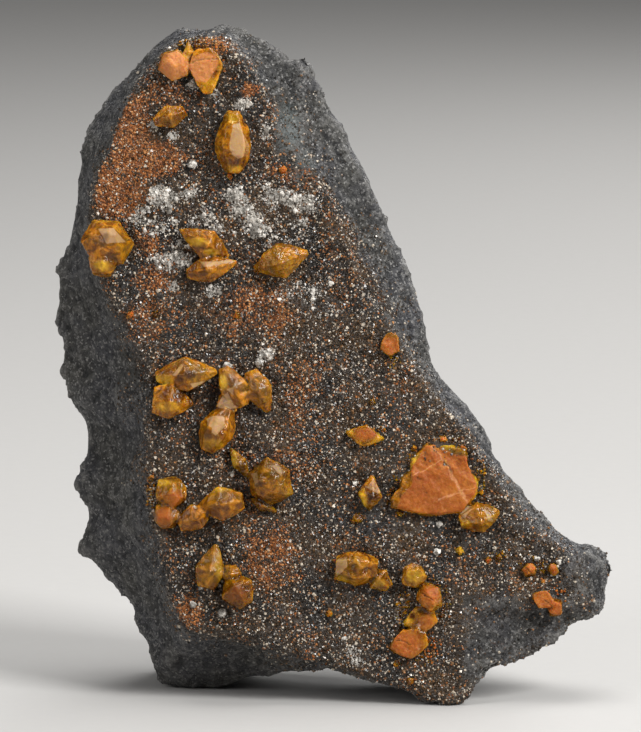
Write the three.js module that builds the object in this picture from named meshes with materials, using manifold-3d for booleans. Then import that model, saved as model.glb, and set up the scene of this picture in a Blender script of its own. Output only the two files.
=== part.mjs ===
// A hand specimen of sturmanite: honey-coloured hexagonal dipyramids, and the orange stumps of broken ones,
// scattered over the druse-covered face of a splinter of dark manganese ore.
//
// Millimetres. In the finished part +Z is up, the crystal face looks along -Y, and the stone stands on
// z = 0. Everything is laid out in the "face frame": x to the right, y into the stone, z up the crystal
// face. One group tips that frame back by LEAN, so the stone leans back a little as it stands.
import * as THREE from "three";
import { mergeVertices } from "three/addons/utils/BufferGeometryUtils.js";
import Module from "manifold-3d";

const wasm = await Module();
wasm.setup();

// ---------------------------------------------------------------- driving dimensions
const LEAN = 8; // degrees that the crystal face leans back
const SEAT_GAP = 0.3; // clearance between a crystal and the stone it grows on
const PLAIN_BELOW = 2; // crystals of a smaller radius have plain, flat faces
const HEART = { x: -6.5, y: 1, z: 32 }; // a point deep in the stone, from which its whole surface can be seen
const ROWS = 24; // rows of points from the middle of the crystal face out to the rim, and again behind it
const FACE_ROWS = 17; // how many of those rows lie on the crystal face, inside its edge
const BACK_ROWS = 15; // how many lie on the back, inside its edge
const FACE_DEPTH = -12.9; // y of the crystal face at its foot
const FACE_LEAN = 1.8; // degrees by which the crystal face falls back towards the top of the stone
const SPUR_START = 18; // x at which the crystal face starts to fall back towards the spur
const SPUR_FALL = 0.14; // how fast it falls back there
const BACK_DEPTH = 17; // y of the middle of the back
const SCAR_SIZE = 8; // width of the hollows on broken faces
const SCAR_DEPTH = 2; // their depth, where there is room for it
const SCAR_ROOM = 0.12; // their greatest depth as a share of the width of a flank
const NARROWEST_FLANK = 0.8; // least width of the bare flank between the crystal face and the rim
const DRUSE_SIZE = 4.5; // width of the hollows on the crystal face
const DRUSE_RELIEF = 0.9; // their depth
const SWELL_SIZE = 15; // width of the crystal face's broad swells
const SWELL = 1.1; // their depth
const FLAT_BELOW = 3; // height over the table up to which the hollows fade out, so that the feet are flat
const FINEST_EDGE = 0.03; // shorter edges, which a cut can leave, are taken out again

// The stone's outline, seen square to the crystal face, clockwise from the left end of its top.
const OUTLINE = [
  [-20, 90], [-17.5, 89.5], [-15, 90.5], [-12.5, 90], [-9.5, 88.5], [-8, 87.5], [-5.5, 85], [-4.5, 84.5],
  [-3.8, 86], [-3, 84], [-2, 81.5], [0.5, 77], [2.5, 73.5], [4.5, 70.5], [5.5, 67], [7.5, 63], [9.5, 58],
  [12, 52], [12, 49.5], [13, 45], [15, 42.5], [17.5, 39], [20.5, 36], [22, 31.5], [24.5, 28], [27, 25],
  [29, 23], [30.1, 21], [34.3, 19], [36, 18.2], [38, 16], [37.5, 15], [36, 12.5], [33, 10], [30, 6.5],
  [24.5, 4.5], [21, 3.5], [19, 1], [18.3, -1], [17.3, -2], [13, -1], [9.5, 0.5], [6, 1], [2, 2.5],
  [-0.5, 3.5], [-3, 3], [-9.5, 2.5], [-14.5, 1], [-18, 0], [-21.5, 0], [-24, 1], [-24.5, 4.5], [-26, 7.5],
  [-27, 11], [-29, 13], [-31, 16.5], [-34, 19.5], [-33, 24], [-35, 28], [-33, 32.5], [-33, 36],
  [-35.5, 40], [-37, 43], [-36.5, 46], [-37.7, 48.5], [-37.8, 53], [-37.5, 57.5], [-36, 61.5], [-35, 65],
  [-34.5, 70.5], [-34, 73.5], [-32.5, 77], [-31, 79], [-30.5, 81], [-28, 83.5], [-26.5, 85.5],
  [-24.5, 87.5], [-22.5, 89],
];

// Corners of the outline that a ridge of the stone runs out to, clockwise from the top.
const CORNERS = [[-3.8, 86], [38, 16], [-24, 1], [-37.8, 53]];

// The edge of the crystal face, where the bare broken flanks begin, in the same view and the same order.
const FACE_EDGE = [
  [-22.5, 85.8], [-19.5, 88.1], [-15.5, 88.6], [-12, 87.2], [-10.5, 83.5], [-9, 78.7], [-6.3, 73.4],
  [-2, 68.7], [1, 64], [2.6, 57.2], [5.4, 51.5], [8.5, 47], [12.5, 41], [17.4, 35.3], [20, 32.2],
  [22.5, 27.5], [26, 23.4], [29, 20], [33, 17.6], [36, 16.2], [34.5, 12.4], [31.7, 10.4], [28.6, 10.4],
  [26, 11.6], [23, 12.9], [20, 13.4], [17.6, 12.4], [16.9, 9.2], [17.4, 5.8], [17.7, 2.8], [17.2, -0.4],
  [16.3, -1.1], [12.3, 0], [9, 1.6], [5.7, 2.3], [2.1, 3.4], [-1.8, 4], [-5.8, 5.1], [-8.5, 6.5],
  [-10.5, 7.7], [-14.5, 8.5],
  [-19.3, 9], [-21.2, 12], [-22.3, 16.6], [-23.4, 21.3], [-24.4, 26], [-24.7, 31.5], [-24.6, 39.5],
  [-24.4, 44.3], [-26, 46.3], [-28.5, 50], [-29.8, 53.7], [-31.2, 56.8], [-33, 59.5], [-32.8, 65],
  [-32.1, 68.6], [-30.4, 72.6], [-28.5, 76.7], [-27.3, 80.7], [-25.4, 83.4],
];

// How the rim and the back lie at some places on the outline, anticlockwise from the left foot. y is the
// rim's depth. The back's edge lies at share of the way from HEART out to the rim, at the depth back.
const RIM = [
  { at: [-24, 1.5], y: 1.5, share: 0.97, back: 15 }, // left foot
  { at: [-16, 0.6], y: 0.8, share: 0.97, back: 15 },
  { at: [-9.4, 2.5], y: -4, share: 0.96, back: 14.5 },
  { at: [-0.2, 3.4], y: -10.2, share: 0.9, back: 12 }, // arch between the feet
  { at: [11.2, -0.2], y: -12, share: 0.97, back: 4 },
  { at: [17.8, -1.5], y: -12.3, share: 0.97, back: 3 }, // right foot
  { at: [24.9, 4.6], y: -9.8, share: 0.88, back: 6 },
  { at: [32.1, 9], y: -7.8, share: 0.85, back: 5 },
  { at: [37.8, 16.3], y: -5.5, share: 0.84, back: 2 }, // spur
  { at: [27, 25], y: -4.5, share: 0.78, back: 7 },
  { at: [21.8, 32], y: -4.5, share: 0.76, back: 9 },
  { at: [15, 42.6], y: -5, share: 0.74, back: 11 },
  { at: [11.8, 52.5], y: -5, share: 0.78, back: 12 },
  { at: [5.5, 67.1], y: -4, share: 0.86, back: 10 },
  { at: [-3.9, 85.8], y: -3, share: 0.88, back: 8.5 },
  { at: [-15.1, 90.5], y: -1.5, share: 0.91, back: 8 }, // top
  { at: [-26.5, 85.5], y: 0, share: 0.88, back: 10 },
  { at: [-34.6, 69.5], y: 1, share: 0.84, back: 12.5 },
  { at: [-37.7, 54], y: 2, share: 0.78, back: 14.5 }, // left shoulder
  { at: [-33.6, 36.9], y: 3, share: 0.8, back: 16 },
  { at: [-33.8, 20.2], y: 3, share: 0.78, back: 17 },
  { at: [-27.3, 11.3], y: 2.5, share: 0.86, back: 16 },
];

// Crystals, each group one solid grown together. A crystal's place is x and z on the crystal face, and lift
// is how far its middle stands in front of the stone. Its long axis points along heading in the face
// (degrees, anticlockwise from +x), tilts out of it by tilt, and the crystal turns about it by roll. up and
// down are the lengths of its two pyramids, blunt and bluntDown the widths left at their tips and swell the
// bulge of their faces, as shares of radius. A broken crystal ends in a flat break that stands proud of the
// stone by broken.
const CRYSTALS = {
  top_twin: {
    finish: "orange",
    parts: [
      {
        x: -21.4, z: 84.8, heading: 80, tilt: 68, lift: 0.8,
        up: 1.8, down: 3, radius: 2.5, blunt: 0.5,
      },
      {
        x: -17.2, z: 84.5, heading: -86, tilt: 6, lift: 0.9,
        up: 3.7, down: 2.4, radius: 2.7, blunt: 0.25, bluntDown: 0.5, broken: 1.7,
      },
      { x: -19.5, z: 86.5, heading: 94, up: 1.6, down: 1.7, radius: 0.8, lift: 0.8 },
    ],
  },
  small_oval: {
    finish: "amber",
    parts: [
      {
        x: -22, z: 77.8, heading: 200, lift: 1,
        up: 2.4, down: 2.2, radius: 1.9, blunt: 0.3, bluntDown: 0.4,
      },
    ],
  },
  tall_pale: {
    finish: "amber",
    parts: [
      {
        x: -13.5, z: 73.8, heading: 90, tilt: 4, roll: 36, lift: 1.5,
        up: 4.7, down: 3.6, radius: 2.6, blunt: 0.36, bluntDown: 0.42, swell: 0.25, broken: 3.4,
      },
    ],
  },
  left_edge: {
    finish: "amber",
    parts: [
      {
        x: -30.4, z: 60.8, heading: 62, tilt: 64, lift: 1.3,
        up: 3.5, down: 3.4, radius: 3.9, blunt: 0.15,
      },
      {
        x: -31, z: 58.3, heading: -97, tilt: 16, lift: 1.3,
        up: 2, down: 2, radius: 2.3, blunt: 0.6,
      },
    ],
  },
  arrow_pair: {
    finish: "amber",
    parts: [
      {
        x: -17, z: 60.5, heading: 151, tilt: 4, lift: 1.2,
        up: 4.3, down: 3.3, radius: 2.4, blunt: 0.08,
      },
      {
        x: -16.9, z: 57.2, heading: 13, tilt: 3, lift: 1,
        up: 4.1, down: 2.9, radius: 2.2, bluntDown: 0.3,
      },
    ],
  },
  upper_spindle: {
    finish: "amber",
    parts: [
      {
        x: -7, z: 58.4, heading: 17, tilt: 5, roll: 10, lift: 1.1,
        up: 3.8, down: 4, radius: 2.7, swell: 0.16,
      },
    ],
  },
  wedge_pair: {
    finish: "amber",
    parts: [
      {
        x: -19.8, z: 43, heading: 5, tilt: 4, lift: 1.7,
        up: 4.2, down: 4.1, radius: 2.7, bluntDown: 0.25, swell: 0.16,
      },
      {
        x: -21.9, z: 39.3, heading: -6, lift: 1.5,
        up: 3, down: 2.4, radius: 2.75, bluntDown: 0.72,
      },
    ],
  },
  middle_cluster: {
    finish: "amber",
    parts: [
      {
        x: -13.4, z: 41.2, heading: 119, lift: 1.5,
        up: 3.1, down: 2.9, radius: 2.15, blunt: 0.35, bluntDown: 0.4,
      },
      {
        x: -10, z: 40.8, heading: -66, lift: 1.2,
        up: 3.2, down: 2.9, radius: 2.15, blunt: 0.2, bluntDown: 0.45,
      },
      { x: -14.2, z: 39.2, heading: 205, tilt: 30, up: 1.8, down: 2, radius: 1.9, lift: 0.9 },
      {
        x: -15.7, z: 35.4, heading: -118, tilt: -4, roll: 30, lift: 1.5,
        up: 3.1, down: 3.4, radius: 2.5, blunt: 0.38, bluntDown: 0.35, swell: 0.25,
      },
    ],
  },
  round_and_sliver: {
    finish: "amber",
    parts: [
      {
        x: -8.4, z: 28.5, heading: 215, tilt: 60, lift: 0.9,
        up: 3, down: 3.8, radius: 3.5, blunt: 0.35, swell: 0.25,
      },
      { x: -12.6, z: 31, heading: 122, up: 2.5, down: 2.6, radius: 1.2, blunt: 0.2, lift: 0.9 },
      { x: -9.6, z: 25.4, heading: -26, up: 2.2, down: 1.8, radius: 1.1, blunt: 0.3, lift: 0.6 },
    ],
  },
  left_row: {
    finish: "amber",
    parts: [
      {
        x: -21.9, z: 27, heading: 20, tilt: 50, lift: 0.6,
        up: 2, down: 2.6, radius: 2.7, blunt: 0.5,
      },
      {
        x: -22.4, z: 23.9, heading: -110, tilt: 50, lift: 0.5,
        up: 1.7, down: 2.2, radius: 2.2, blunt: 0.5,
      },
      { x: -18.4, z: 23.8, heading: 207, up: 2.7, down: 2.4, radius: 2.1, blunt: 0.45, lift: 1 },
      {
        x: -15.2, z: 25.5, heading: 8, lift: 1.3,
        up: 3.2, down: 3, radius: 2.7, blunt: 0.42, swell: 0.2,
      },
    ],
  },
  teardrop_pair: {
    finish: "amber",
    parts: [
      {
        x: -16.6, z: 16.6, heading: 76, lift: 1.3,
        up: 3.6, down: 2.5, radius: 2.3, bluntDown: 0.55,
      },
      {
        x: -12.9, z: 13.9, heading: -60, tilt: 14, lift: 1.2,
        up: 2.5, down: 2.6, radius: 2.7, blunt: 0.42,
      },
      { x: -13.7, z: 16, heading: 96, up: 1.3, down: 1.6, radius: 1.6, blunt: 0.5, lift: 1.2 },
    ],
  },
  right_bead: {
    finish: "orange",
    parts: [
      {
        x: 7.7, z: 46.7, heading: 85, tilt: 40, lift: 0.4,
        up: 2, down: 2.1, radius: 1.65, blunt: 0.5, broken: 1.2,
      },
    ],
  },
  orange_lens: {
    finish: "orange",
    parts: [
      {
        x: 4.2, z: 34.7, heading: -10, lift: 0.6,
        up: 2.9, down: 2.7, radius: 1.85, broken: 1.3,
      },
    ],
  },
  white_tipped: {
    finish: "amber",
    parts: [
      {
        x: 5, z: 26.7, heading: 84, tilt: 5, roll: 15, lift: 1.1,
        up: 2.7, down: 2.6, radius: 1.8, blunt: 0.2,
      },
    ],
  },
  big_stump: {
    finish: "orange",
    parts: [
      {
        x: 19.9, z: 23.8, heading: 14, tilt: 4, roll: 20, lift: 1.1,
        up: 2.8, down: 2.8, radius: 2.3, bluntDown: 0.45,
      },
    ],
  },
  block: {
    finish: "amber",
    parts: [
      {
        x: 3.2, z: 16.8, heading: 176, roll: 30, lift: 1.2,
        up: 2.9, down: 2.8, radius: 2.5, blunt: 0.66, bluntDown: 0.6,
      },
      { x: 6.1, z: 15.4, heading: -40, up: 1.9, down: 2, radius: 1.9, blunt: 0.4, lift: 0.9 },
    ],
  },
  chain: {
    finish: "orange",
    parts: [
      {
        x: 10.9, z: 15.7, heading: 100, tilt: 45, lift: 0.8,
        up: 1.9, down: 2.2, radius: 2, blunt: 0.45,
      },
      {
        x: 12.9, z: 13.2, heading: -60, tilt: 20, lift: 0.9,
        up: 2.2, down: 2.1, radius: 2, blunt: 0.5,
      },
      {
        x: 11.7, z: 9.9, heading: 15, lift: 0.7,
        up: 2.3, down: 2.3, radius: 2.2, blunt: 0.5, broken: 1.3,
      },
      {
        x: 10, z: 6.6, heading: 15, lift: 0.5,
        up: 2.8, down: 2.8, radius: 2.4, blunt: 0.45, broken: 1.3,
      },
    ],
  },
  lower_speck: {
    finish: "amber",
    parts: [{ x: 17.1, z: 19, heading: -10, up: 1.1, down: 1.1, radius: 0.9, lift: 0.5 }],
  },
  spur_bead: {
    finish: "orange",
    parts: [
      {
        x: 26.5, z: 16.5, heading: 60, tilt: 60, lift: 0.5,
        up: 1.3, down: 1.7, radius: 1.35, blunt: 0.4,
      },
    ],
  },
  spur_bead_small: {
    finish: "orange",
    parts: [
      {
        x: 29.7, z: 16.6, heading: 90, tilt: 60, lift: 0.4,
        up: 1.1, down: 1.5, radius: 1.05, blunt: 0.4,
      },
    ],
  },
  spur_pair: {
    finish: "orange",
    parts: [
      { x: 28.3, z: 12.6, heading: -22, up: 2.1, down: 2, radius: 1.5, lift: 0.6, broken: 1.1 },
      {
        x: 29.9, z: 11.5, heading: 60, tilt: 40, lift: 0.7,
        up: 1.3, down: 1.8, radius: 1.5, blunt: 0.5,
      },
    ],
  },
};

// The big stump is the broken base of a crystal as wide as a fingernail: its outline on the crystal face.
const STUMP_OUTLINE = [
  [12.3, 33.7], [14.4, 34], [16.5, 33.6], [18.2, 32.7], [18.6, 30.6], [19.7, 28.3], [19.4, 26.7],
  [18.5, 25.4], [17.4, 24.3], [14.8, 24], [12.5, 23.8], [10.1, 24.4], [7.8, 25], [7.7, 26.2], [9, 27.7],
  [8.9, 29], [10.3, 30.1], [10.4, 31.7], [11.5, 32.8],
];
const STUMP_HEIGHT = 1.5; // how far its break stands out of the stone
const STUMP_ROOT = 4; // how deep the uncut solid reaches back

// White druse: knots of tiny crystals that stand up from the crystal face, by place and size.
const DRUSE_KNOTS = [
  [-23.6, 66.8, 2.1], [-21.8, 68.2, 1.4], [-24.9, 65.2, 1.4], [-12.6, 67, 1.6], [-11.3, 64.8, 2],
  [-9.6, 62.4, 1.5], [-5.4, 66.9, 1.5], [-2.6, 65.4, 1.2], [-22.8, 57.6, 1.7], [-20.6, 58.4, 1.3],
  [-26.2, 62.3, 1.4], [-1.6, 60.5, 1.3], [-9, 45.8, 1.1], [-19, 71.6, 1], [-15.1, 10.4, 1], [3.4, 23.6, 0.9],
];

// ---------------------------------------------------------------- small mathematics
const radians = THREE.MathUtils.degToRad;
const lerp = THREE.MathUtils.lerp;

// A number from 0 to 1 that is always the same for the same cell.
function chance(i, j, k, salt) {
  const s = Math.sin(i * 127.1 + j * 311.7 + k * 74.7 + salt * 53.3) * 43758.5453;
  return s - Math.floor(s);
}

// Hollows with sharp ridges between them, as on broken rock: 0 in the middle of a hollow, about 1 on a ridge.
function scars(point, size, salt) {
  const [x, y, z] = [point.x / size, point.y / size, point.z / size];
  const [ci, cj, ck] = [Math.floor(x), Math.floor(y), Math.floor(z)];
  let nearest = Infinity;
  for (let i = ci - 1; i <= ci + 1; i++)
    for (let j = cj - 1; j <= cj + 1; j++)
      for (let k = ck - 1; k <= ck + 1; k++) {
        const dx = x - i - chance(i, j, k, salt);
        const dy = y - j - chance(i, j, k, salt + 1);
        const dz = z - k - chance(i, j, k, salt + 2);
        nearest = Math.min(nearest, dx * dx + dy * dy + dz * dz);
      }
  return Math.min(nearest, 1);
}

// ---------------------------------------------------------------- the stone
// How far a closed outline lies from HEART along a bearing in the face.
function reachOf(outline, bearing) {
  const [ux, uz] = [Math.cos(bearing), Math.sin(bearing)];
  let reach = 0;
  outline.forEach(([ax, az], i) => {
    const [bx, bz] = outline[(i + 1) % outline.length];
    const [px, pz, ex, ez] = [ax - HEART.x, az - HEART.z, bx - ax, bz - az];
    const across = ux * ez - uz * ex;
    if (Math.abs(across) < 1e-9) return;
    const along = (px * ez - pz * ex) / across;
    const share = (px * uz - pz * ux) / across;
    if (along > 0 && share >= 0 && share <= 1) reach = Math.max(reach, along);
  });
  return reach;
}

// Every row of points has four that always lie on the same four lines, so those lines run out to CORNERS.
// The rim's other points are spread evenly between, and moved onto the outline's own where those are near.
const SNAP = 0.45; // how near, as a share of the spacing
const sides = OUTLINE.map(([x, z], i) => {
  const [nextX, nextZ] = OUTLINE[(i + 1) % OUTLINE.length];
  return { x, z, nextX, nextZ, length: Math.hypot(nextX - x, nextZ - z) };
});
const girth = sides.reduce((sum, side) => sum + side.length, 0);
const cornerPlaces = CORNERS.map(([x, z]) => {
  const corner = sides.findIndex((side) => side.x === x && side.z === z);
  return sides.slice(0, corner).reduce((sum, side) => sum + side.length, 0);
});
cornerPlaces.push(cornerPlaces[0] + girth);
function rimPoint(i) {
  const quarter = Math.floor(i / ROWS);
  const spacing = (cornerPlaces[quarter + 1] - cornerPlaces[quarter]) / ROWS;
  let left = (cornerPlaces[quarter] + spacing * (i % ROWS)) % girth;
  const side = sides.find(({ length }) => {
    if (left < length) return true;
    left -= length;
    return false;
  });
  if (left < SNAP * spacing) return [side.x, side.z];
  if (side.length - left < SNAP * spacing) return [side.nextX, side.nextZ];
  return [lerp(side.x, side.nextX, left / side.length), lerp(side.z, side.nextZ, left / side.length)];
}

// The rim's depth and the back's edge along a bearing, between the stations of RIM.
const bearingOf = (x, z) => Math.atan2(z - HEART.z, x - HEART.x);
const turnFrom = (start, bearing) => (bearing - start + 4 * Math.PI) % (2 * Math.PI);
const firstBearing = bearingOf(...RIM[0].at);
const stations = RIM.map(({ at, ...lie }) => ({ turn: turnFrom(firstBearing, bearingOf(...at)), ...lie }));
stations.push({ ...stations[0], turn: 2 * Math.PI });
function rimAt(bearing) {
  const turn = turnFrom(firstBearing, bearing);
  const after = stations.findIndex((station) => station.turn > turn);
  const [last, next] = [stations[after - 1], stations[after]];
  const along = (turn - last.turn) / (next.turn - last.turn);
  return {
    y: lerp(last.y, next.y, along),
    share: lerp(last.share, next.share, along),
    back: lerp(last.back, next.back, along),
  };
}

// y of the crystal face, without its relief.
function faceDepth(x, z) {
  return FACE_DEPTH + z * Math.tan(radians(FACE_LEAN)) + SPUR_FALL * Math.max(0, x - SPUR_START);
}

// The stone's three drawn lines, each as one point for every point of the octahedron's girdle: the rim, the
// edge of the crystal face in front of it, and the edge of the back behind it.
const GIRDLE = 4 * ROWS;
const rims = Array.from({ length: GIRDLE }, (_, i) => rimPoint(i));
const edgeShares = rims.map(([x, z]) => {
  const away = Math.hypot(x - HEART.x, z - HEART.z);
  return Math.min(reachOf(FACE_EDGE, bearingOf(x, z)), away - NARROWEST_FLANK) / away;
});
const rings = rims.map(([x, z], i) => {
  const { y, share, back } = rimAt(bearingOf(x, z));
  const beside = edgeShares[(i + 1) % GIRDLE] + edgeShares[(i + GIRDLE - 1) % GIRDLE];
  const edgeShare = (2 * edgeShares[i] + beside) / 4;
  const [edgeX, edgeZ] = [lerp(HEART.x, x, edgeShare), lerp(HEART.z, z, edgeShare)];
  return {
    rim: new THREE.Vector3(x, y, z),
    edge: new THREE.Vector3(edgeX, faceDepth(edgeX, edgeZ), edgeZ),
    back: new THREE.Vector3(lerp(HEART.x, x, share), back, lerp(HEART.z, z, share)),
  };
});
const faceMiddle = new THREE.Vector3(HEART.x, faceDepth(HEART.x, HEART.z), HEART.z);
const backMiddle = new THREE.Vector3(HEART.x, BACK_DEPTH, HEART.z);

// The stone's surface, without its relief, at a share of the way round and a row of points, in front or
// behind, with how deep a hollow there may be.
function stonePoint(round, row, inFront) {
  const place = round * GIRDLE;
  const [last, next] = [rings[Math.floor(place) % GIRDLE], rings[Math.ceil(place) % GIRDLE]];
  const between = (line) => new THREE.Vector3().lerpVectors(last[line], next[line], place % 1);
  const rim = between("rim");
  const edge = between(inFront ? "edge" : "back");
  const innerRows = inFront ? FACE_ROWS : BACK_ROWS;
  const toRim = (row - innerRows) / (ROWS - innerRows);
  if (toRim > 0) {
    const fade = inFront ? 4 * toRim * (1 - toRim) : Math.min(1, 2 * (1 - toRim));
    const depth = fade * Math.min(SCAR_DEPTH, SCAR_ROOM * edge.distanceTo(rim));
    return { point: edge.lerp(rim, toRim), depth };
  }
  const middle = inFront ? faceMiddle : backMiddle;
  return { point: middle.clone().lerp(edge, row / innerRows), depth: SCAR_DEPTH };
}

// Presses a point that lies below the table back up onto it, towards HEART.
const heightOf = ({ y, z }) => z * Math.cos(radians(LEAN)) - y * Math.sin(radians(LEAN));
function standOnTable(point) {
  const below = -heightOf(point);
  return below > 0 ? point.lerp(HEART, below / (below + heightOf(HEART))) : point;
}

// How far round the octahedron's girdle a point lies, from 0 to 1, clockwise as the outline runs.
function roundOf({ x, z }) {
  const sum = Math.abs(x) + Math.abs(z) || 1;
  const quarter = z > 0 ? (x <= 0 ? 0 : 1) : x > 0 ? 2 : 3;
  const along = quarter % 2 === 0 ? Math.abs(z) / sum : Math.abs(x) / sum;
  return ((quarter + along) / 4) % 1;
}

// An octahedron has its points in rows from its front tip round a four-sided girdle to its back tip. The
// rows are laid onto the stone one by one, and the girdle onto its outline.
function stoneGeometry() {
  const octahedron = new THREE.OctahedronGeometry(1, ROWS - 1);
  octahedron.deleteAttribute("normal");
  octahedron.deleteAttribute("uv");
  const stone = mergeVertices(octahedron, 1e-5);
  const places = stone.getAttribute("position");
  for (let i = 0; i < places.count; i++) {
    const flat = new THREE.Vector3().fromBufferAttribute(places, i);
    flat.divideScalar(Math.abs(flat.x) + Math.abs(flat.y) + Math.abs(flat.z));
    const row = Math.round((1 - Math.abs(flat.y)) * ROWS);
    const inFace = flat.y < 0 && row <= FACE_ROWS;
    const { point, depth } = stonePoint(roundOf(flat), row, flat.y < 0);
    const clear = THREE.MathUtils.clamp(heightOf(point) / FLAT_BELOW, 0, 1);
    const relief = inFace
      ? DRUSE_RELIEF * (scars(point, DRUSE_SIZE, 1) - 0.4) + SWELL * (scars(point, SWELL_SIZE, 5) - 0.4)
      : clear * depth * (0.6 * scars(point, SCAR_SIZE, 1) + 0.4 * scars(point, SCAR_SIZE / 2.2, 9) - 0.8);
    const outwards = inFace
      ? new THREE.Vector3(0, -1, 0)
      : point.clone().sub(HEART).multiply(new THREE.Vector3(1, 3, 1)).normalize();
    standOnTable(point.addScaledVector(outwards, relief));
    places.setXYZ(i, point.x, point.y, point.z);
  }
  return stone;
}

// y of the stone's surface behind a place on the crystal face.
const bareStone = new THREE.Mesh(stoneGeometry());
const towardsStone = new THREE.Vector3(0, 1, 0);
function seatDepth(x, z) {
  const ray = new THREE.Raycaster(new THREE.Vector3(x, -100, z), towardsStone);
  return ray.intersectObject(bareStone)[0].point.y;
}

// ---------------------------------------------------------------- solids
function solidFrom(geometry) {
  const bare = geometry.clone();
  bare.deleteAttribute("normal");
  bare.deleteAttribute("uv");
  const merged = mergeVertices(bare, 1e-4);
  return new wasm.Manifold(
    new wasm.Mesh({
      numProp: 3,
      vertProperties: merged.getAttribute("position").array,
      triVerts: new Uint32Array(merged.index.array),
    }),
  );
}

function geometryFrom(solid) {
  const mesh = solid.getMesh();
  const geometry = new THREE.BufferGeometry();
  geometry.setAttribute("position", new THREE.BufferAttribute(new Float32Array(mesh.vertProperties), 3));
  geometry.setIndex(new THREE.BufferAttribute(new Uint32Array(mesh.triVerts), 1));
  geometry.computeVertexNormals();
  return geometry;
}

// The largest body of a solid, without the slivers that a cut leaves along its edges.
function largestBody(solid) {
  const bodies = solid.decompose().sort((a, b) => b.volume() - a.volume());
  return bodies[0].simplify(FINEST_EDGE);
}

// ---------------------------------------------------------------- the crystals
// A hexagonal dipyramid with its long axis along +Y and its middle at the origin. Its faces bulge at the
// shoulders, half way to the tips; a small crystal has plain faces.
function dipyramid({ up, down, radius, blunt = 0.12, bluntDown = 0.12, swell = 0.12 }) {
  const shoulder = (tip) => radius * ((1 + tip) / 2 + swell / 2);
  const profile = [
    new THREE.Vector2(0, -down),
    new THREE.Vector2(radius * bluntDown, -down),
    new THREE.Vector2(shoulder(bluntDown), -down / 2),
    new THREE.Vector2(radius, 0),
    new THREE.Vector2(shoulder(blunt), up / 2),
    new THREE.Vector2(radius * blunt, up),
    new THREE.Vector2(0, up),
  ];
  if (radius < PLAIN_BELOW) {
    profile.splice(4, 1);
    profile.splice(2, 1);
  }
  return new THREE.LatheGeometry(profile, 6);
}

// Turns and moves a crystal from its own frame to its place on the stone.
function placement({ x, z, heading, tilt = 0, roll = 0, lift }) {
  const [along, out] = [radians(heading), radians(tilt)];
  const axis = new THREE.Vector3(
    Math.cos(along) * Math.cos(out),
    -Math.sin(out),
    Math.sin(along) * Math.cos(out),
  );
  const side = new THREE.Vector3(-Math.sin(along), 0, Math.cos(along));
  const front = new THREE.Vector3().crossVectors(side, axis);
  return new THREE.Matrix4()
    .makeBasis(side, axis, front)
    .multiply(new THREE.Matrix4().makeRotationY(radians(roll)))
    .setPosition(x, seatDepth(x, z) - lift, z);
}

// What is cut off a crystal that has broken flat: everything further out than its break.
function brokenOff({ x, z, broken }) {
  const size = 20;
  const block = new THREE.BoxGeometry(size, size, size);
  block.translate(x, seatDepth(x, z) - broken - size / 2, z);
  return solidFrom(block);
}

function crystalSolid(crystal) {
  const whole = solidFrom(dipyramid(crystal).applyMatrix4(placement(crystal)));
  return crystal.broken ? whole.subtract(brokenOff(crystal)) : whole;
}

// The big stump: its outline carried from inside the stone out to the break, with a chipped edge.
function stumpSolid() {
  const chip = 0.4;
  const shape = new THREE.Shape(STUMP_OUTLINE.map(([x, z]) => new THREE.Vector2(x, z)));
  const stump = new THREE.ExtrudeGeometry(shape, {
    depth: STUMP_ROOT + STUMP_HEIGHT - 2 * chip,
    bevelThickness: chip,
    bevelSize: chip,
    bevelOffset: -chip,
    bevelSegments: 1,
  });
  const [middleX, middleZ] = [14, 28.5];
  stump.rotateX(radians(90)); // the extrusion now runs along -y, and the shape's second axis is z
  stump.translate(0, seatDepth(middleX, middleZ) + STUMP_ROOT - chip, 0);
  return solidFrom(stump);
}

// ---------------------------------------------------------------- the stone's small knots of white druse
function knotSolid([x, z, size], index) {
  const knot = new THREE.IcosahedronGeometry(size);
  knot.applyMatrix4(
    new THREE.Matrix4().makeRotationFromEuler(new THREE.Euler(index * 1.3, index * 0.7, index * 2.1)),
  );
  knot.scale(1, 0.7, 0.85);
  knot.translate(x, seatDepth(x, z) + 0.1 * size, z);
  return solidFrom(knot);
}

// ---------------------------------------------------------------- assembly
const FINISHES = {
  ore: { color: 0x4a474d, roughness: 0.7, metalness: 0.15 },
  amber: { color: 0xb9852a, roughness: 0.2, metalness: 0 },
  orange: { color: 0xd9773c, roughness: 0.55, metalness: 0 },
};

const specimen = new THREE.Group();
const faceFrame = new THREE.Group();
faceFrame.rotation.x = -radians(LEAN);
specimen.add(faceFrame);

function addNode(name, solid, finish) {
  const mesh = new THREE.Mesh(geometryFrom(solid), new THREE.MeshStandardMaterial(FINISHES[finish]));
  mesh.name = name;
  faceFrame.add(mesh);
}

const bareSolid = solidFrom(bareStone.geometry);
const stone = DRUSE_KNOTS.map(knotSolid).reduce((joined, knot) => joined.add(knot), bareSolid);
addNode("matrix", stone, "ore");

// The stone and the same stone moved out by the gap: what every crystal is cut clear of.
const clearance = stone.add(solidFrom(geometryFrom(stone).translate(0, -SEAT_GAP, 0)));
for (const [name, { finish, parts }] of Object.entries(CRYSTALS)) {
  const solids = parts.map(crystalSolid);
  if (name === "big_stump") solids.push(stumpSolid());
  const grown = solids.reduce((joined, next) => joined.add(next));
  addNode(name, largestBody(grown.subtract(clearance)), finish);
}

// The origin lies on the table, under the middle of the specimen.
specimen.updateMatrixWorld(true);
const middle = new THREE.Box3().setFromObject(specimen, true).getCenter(new THREE.Vector3());
faceFrame.position.set(-middle.x, -middle.y, 0);

export default specimen;
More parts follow.
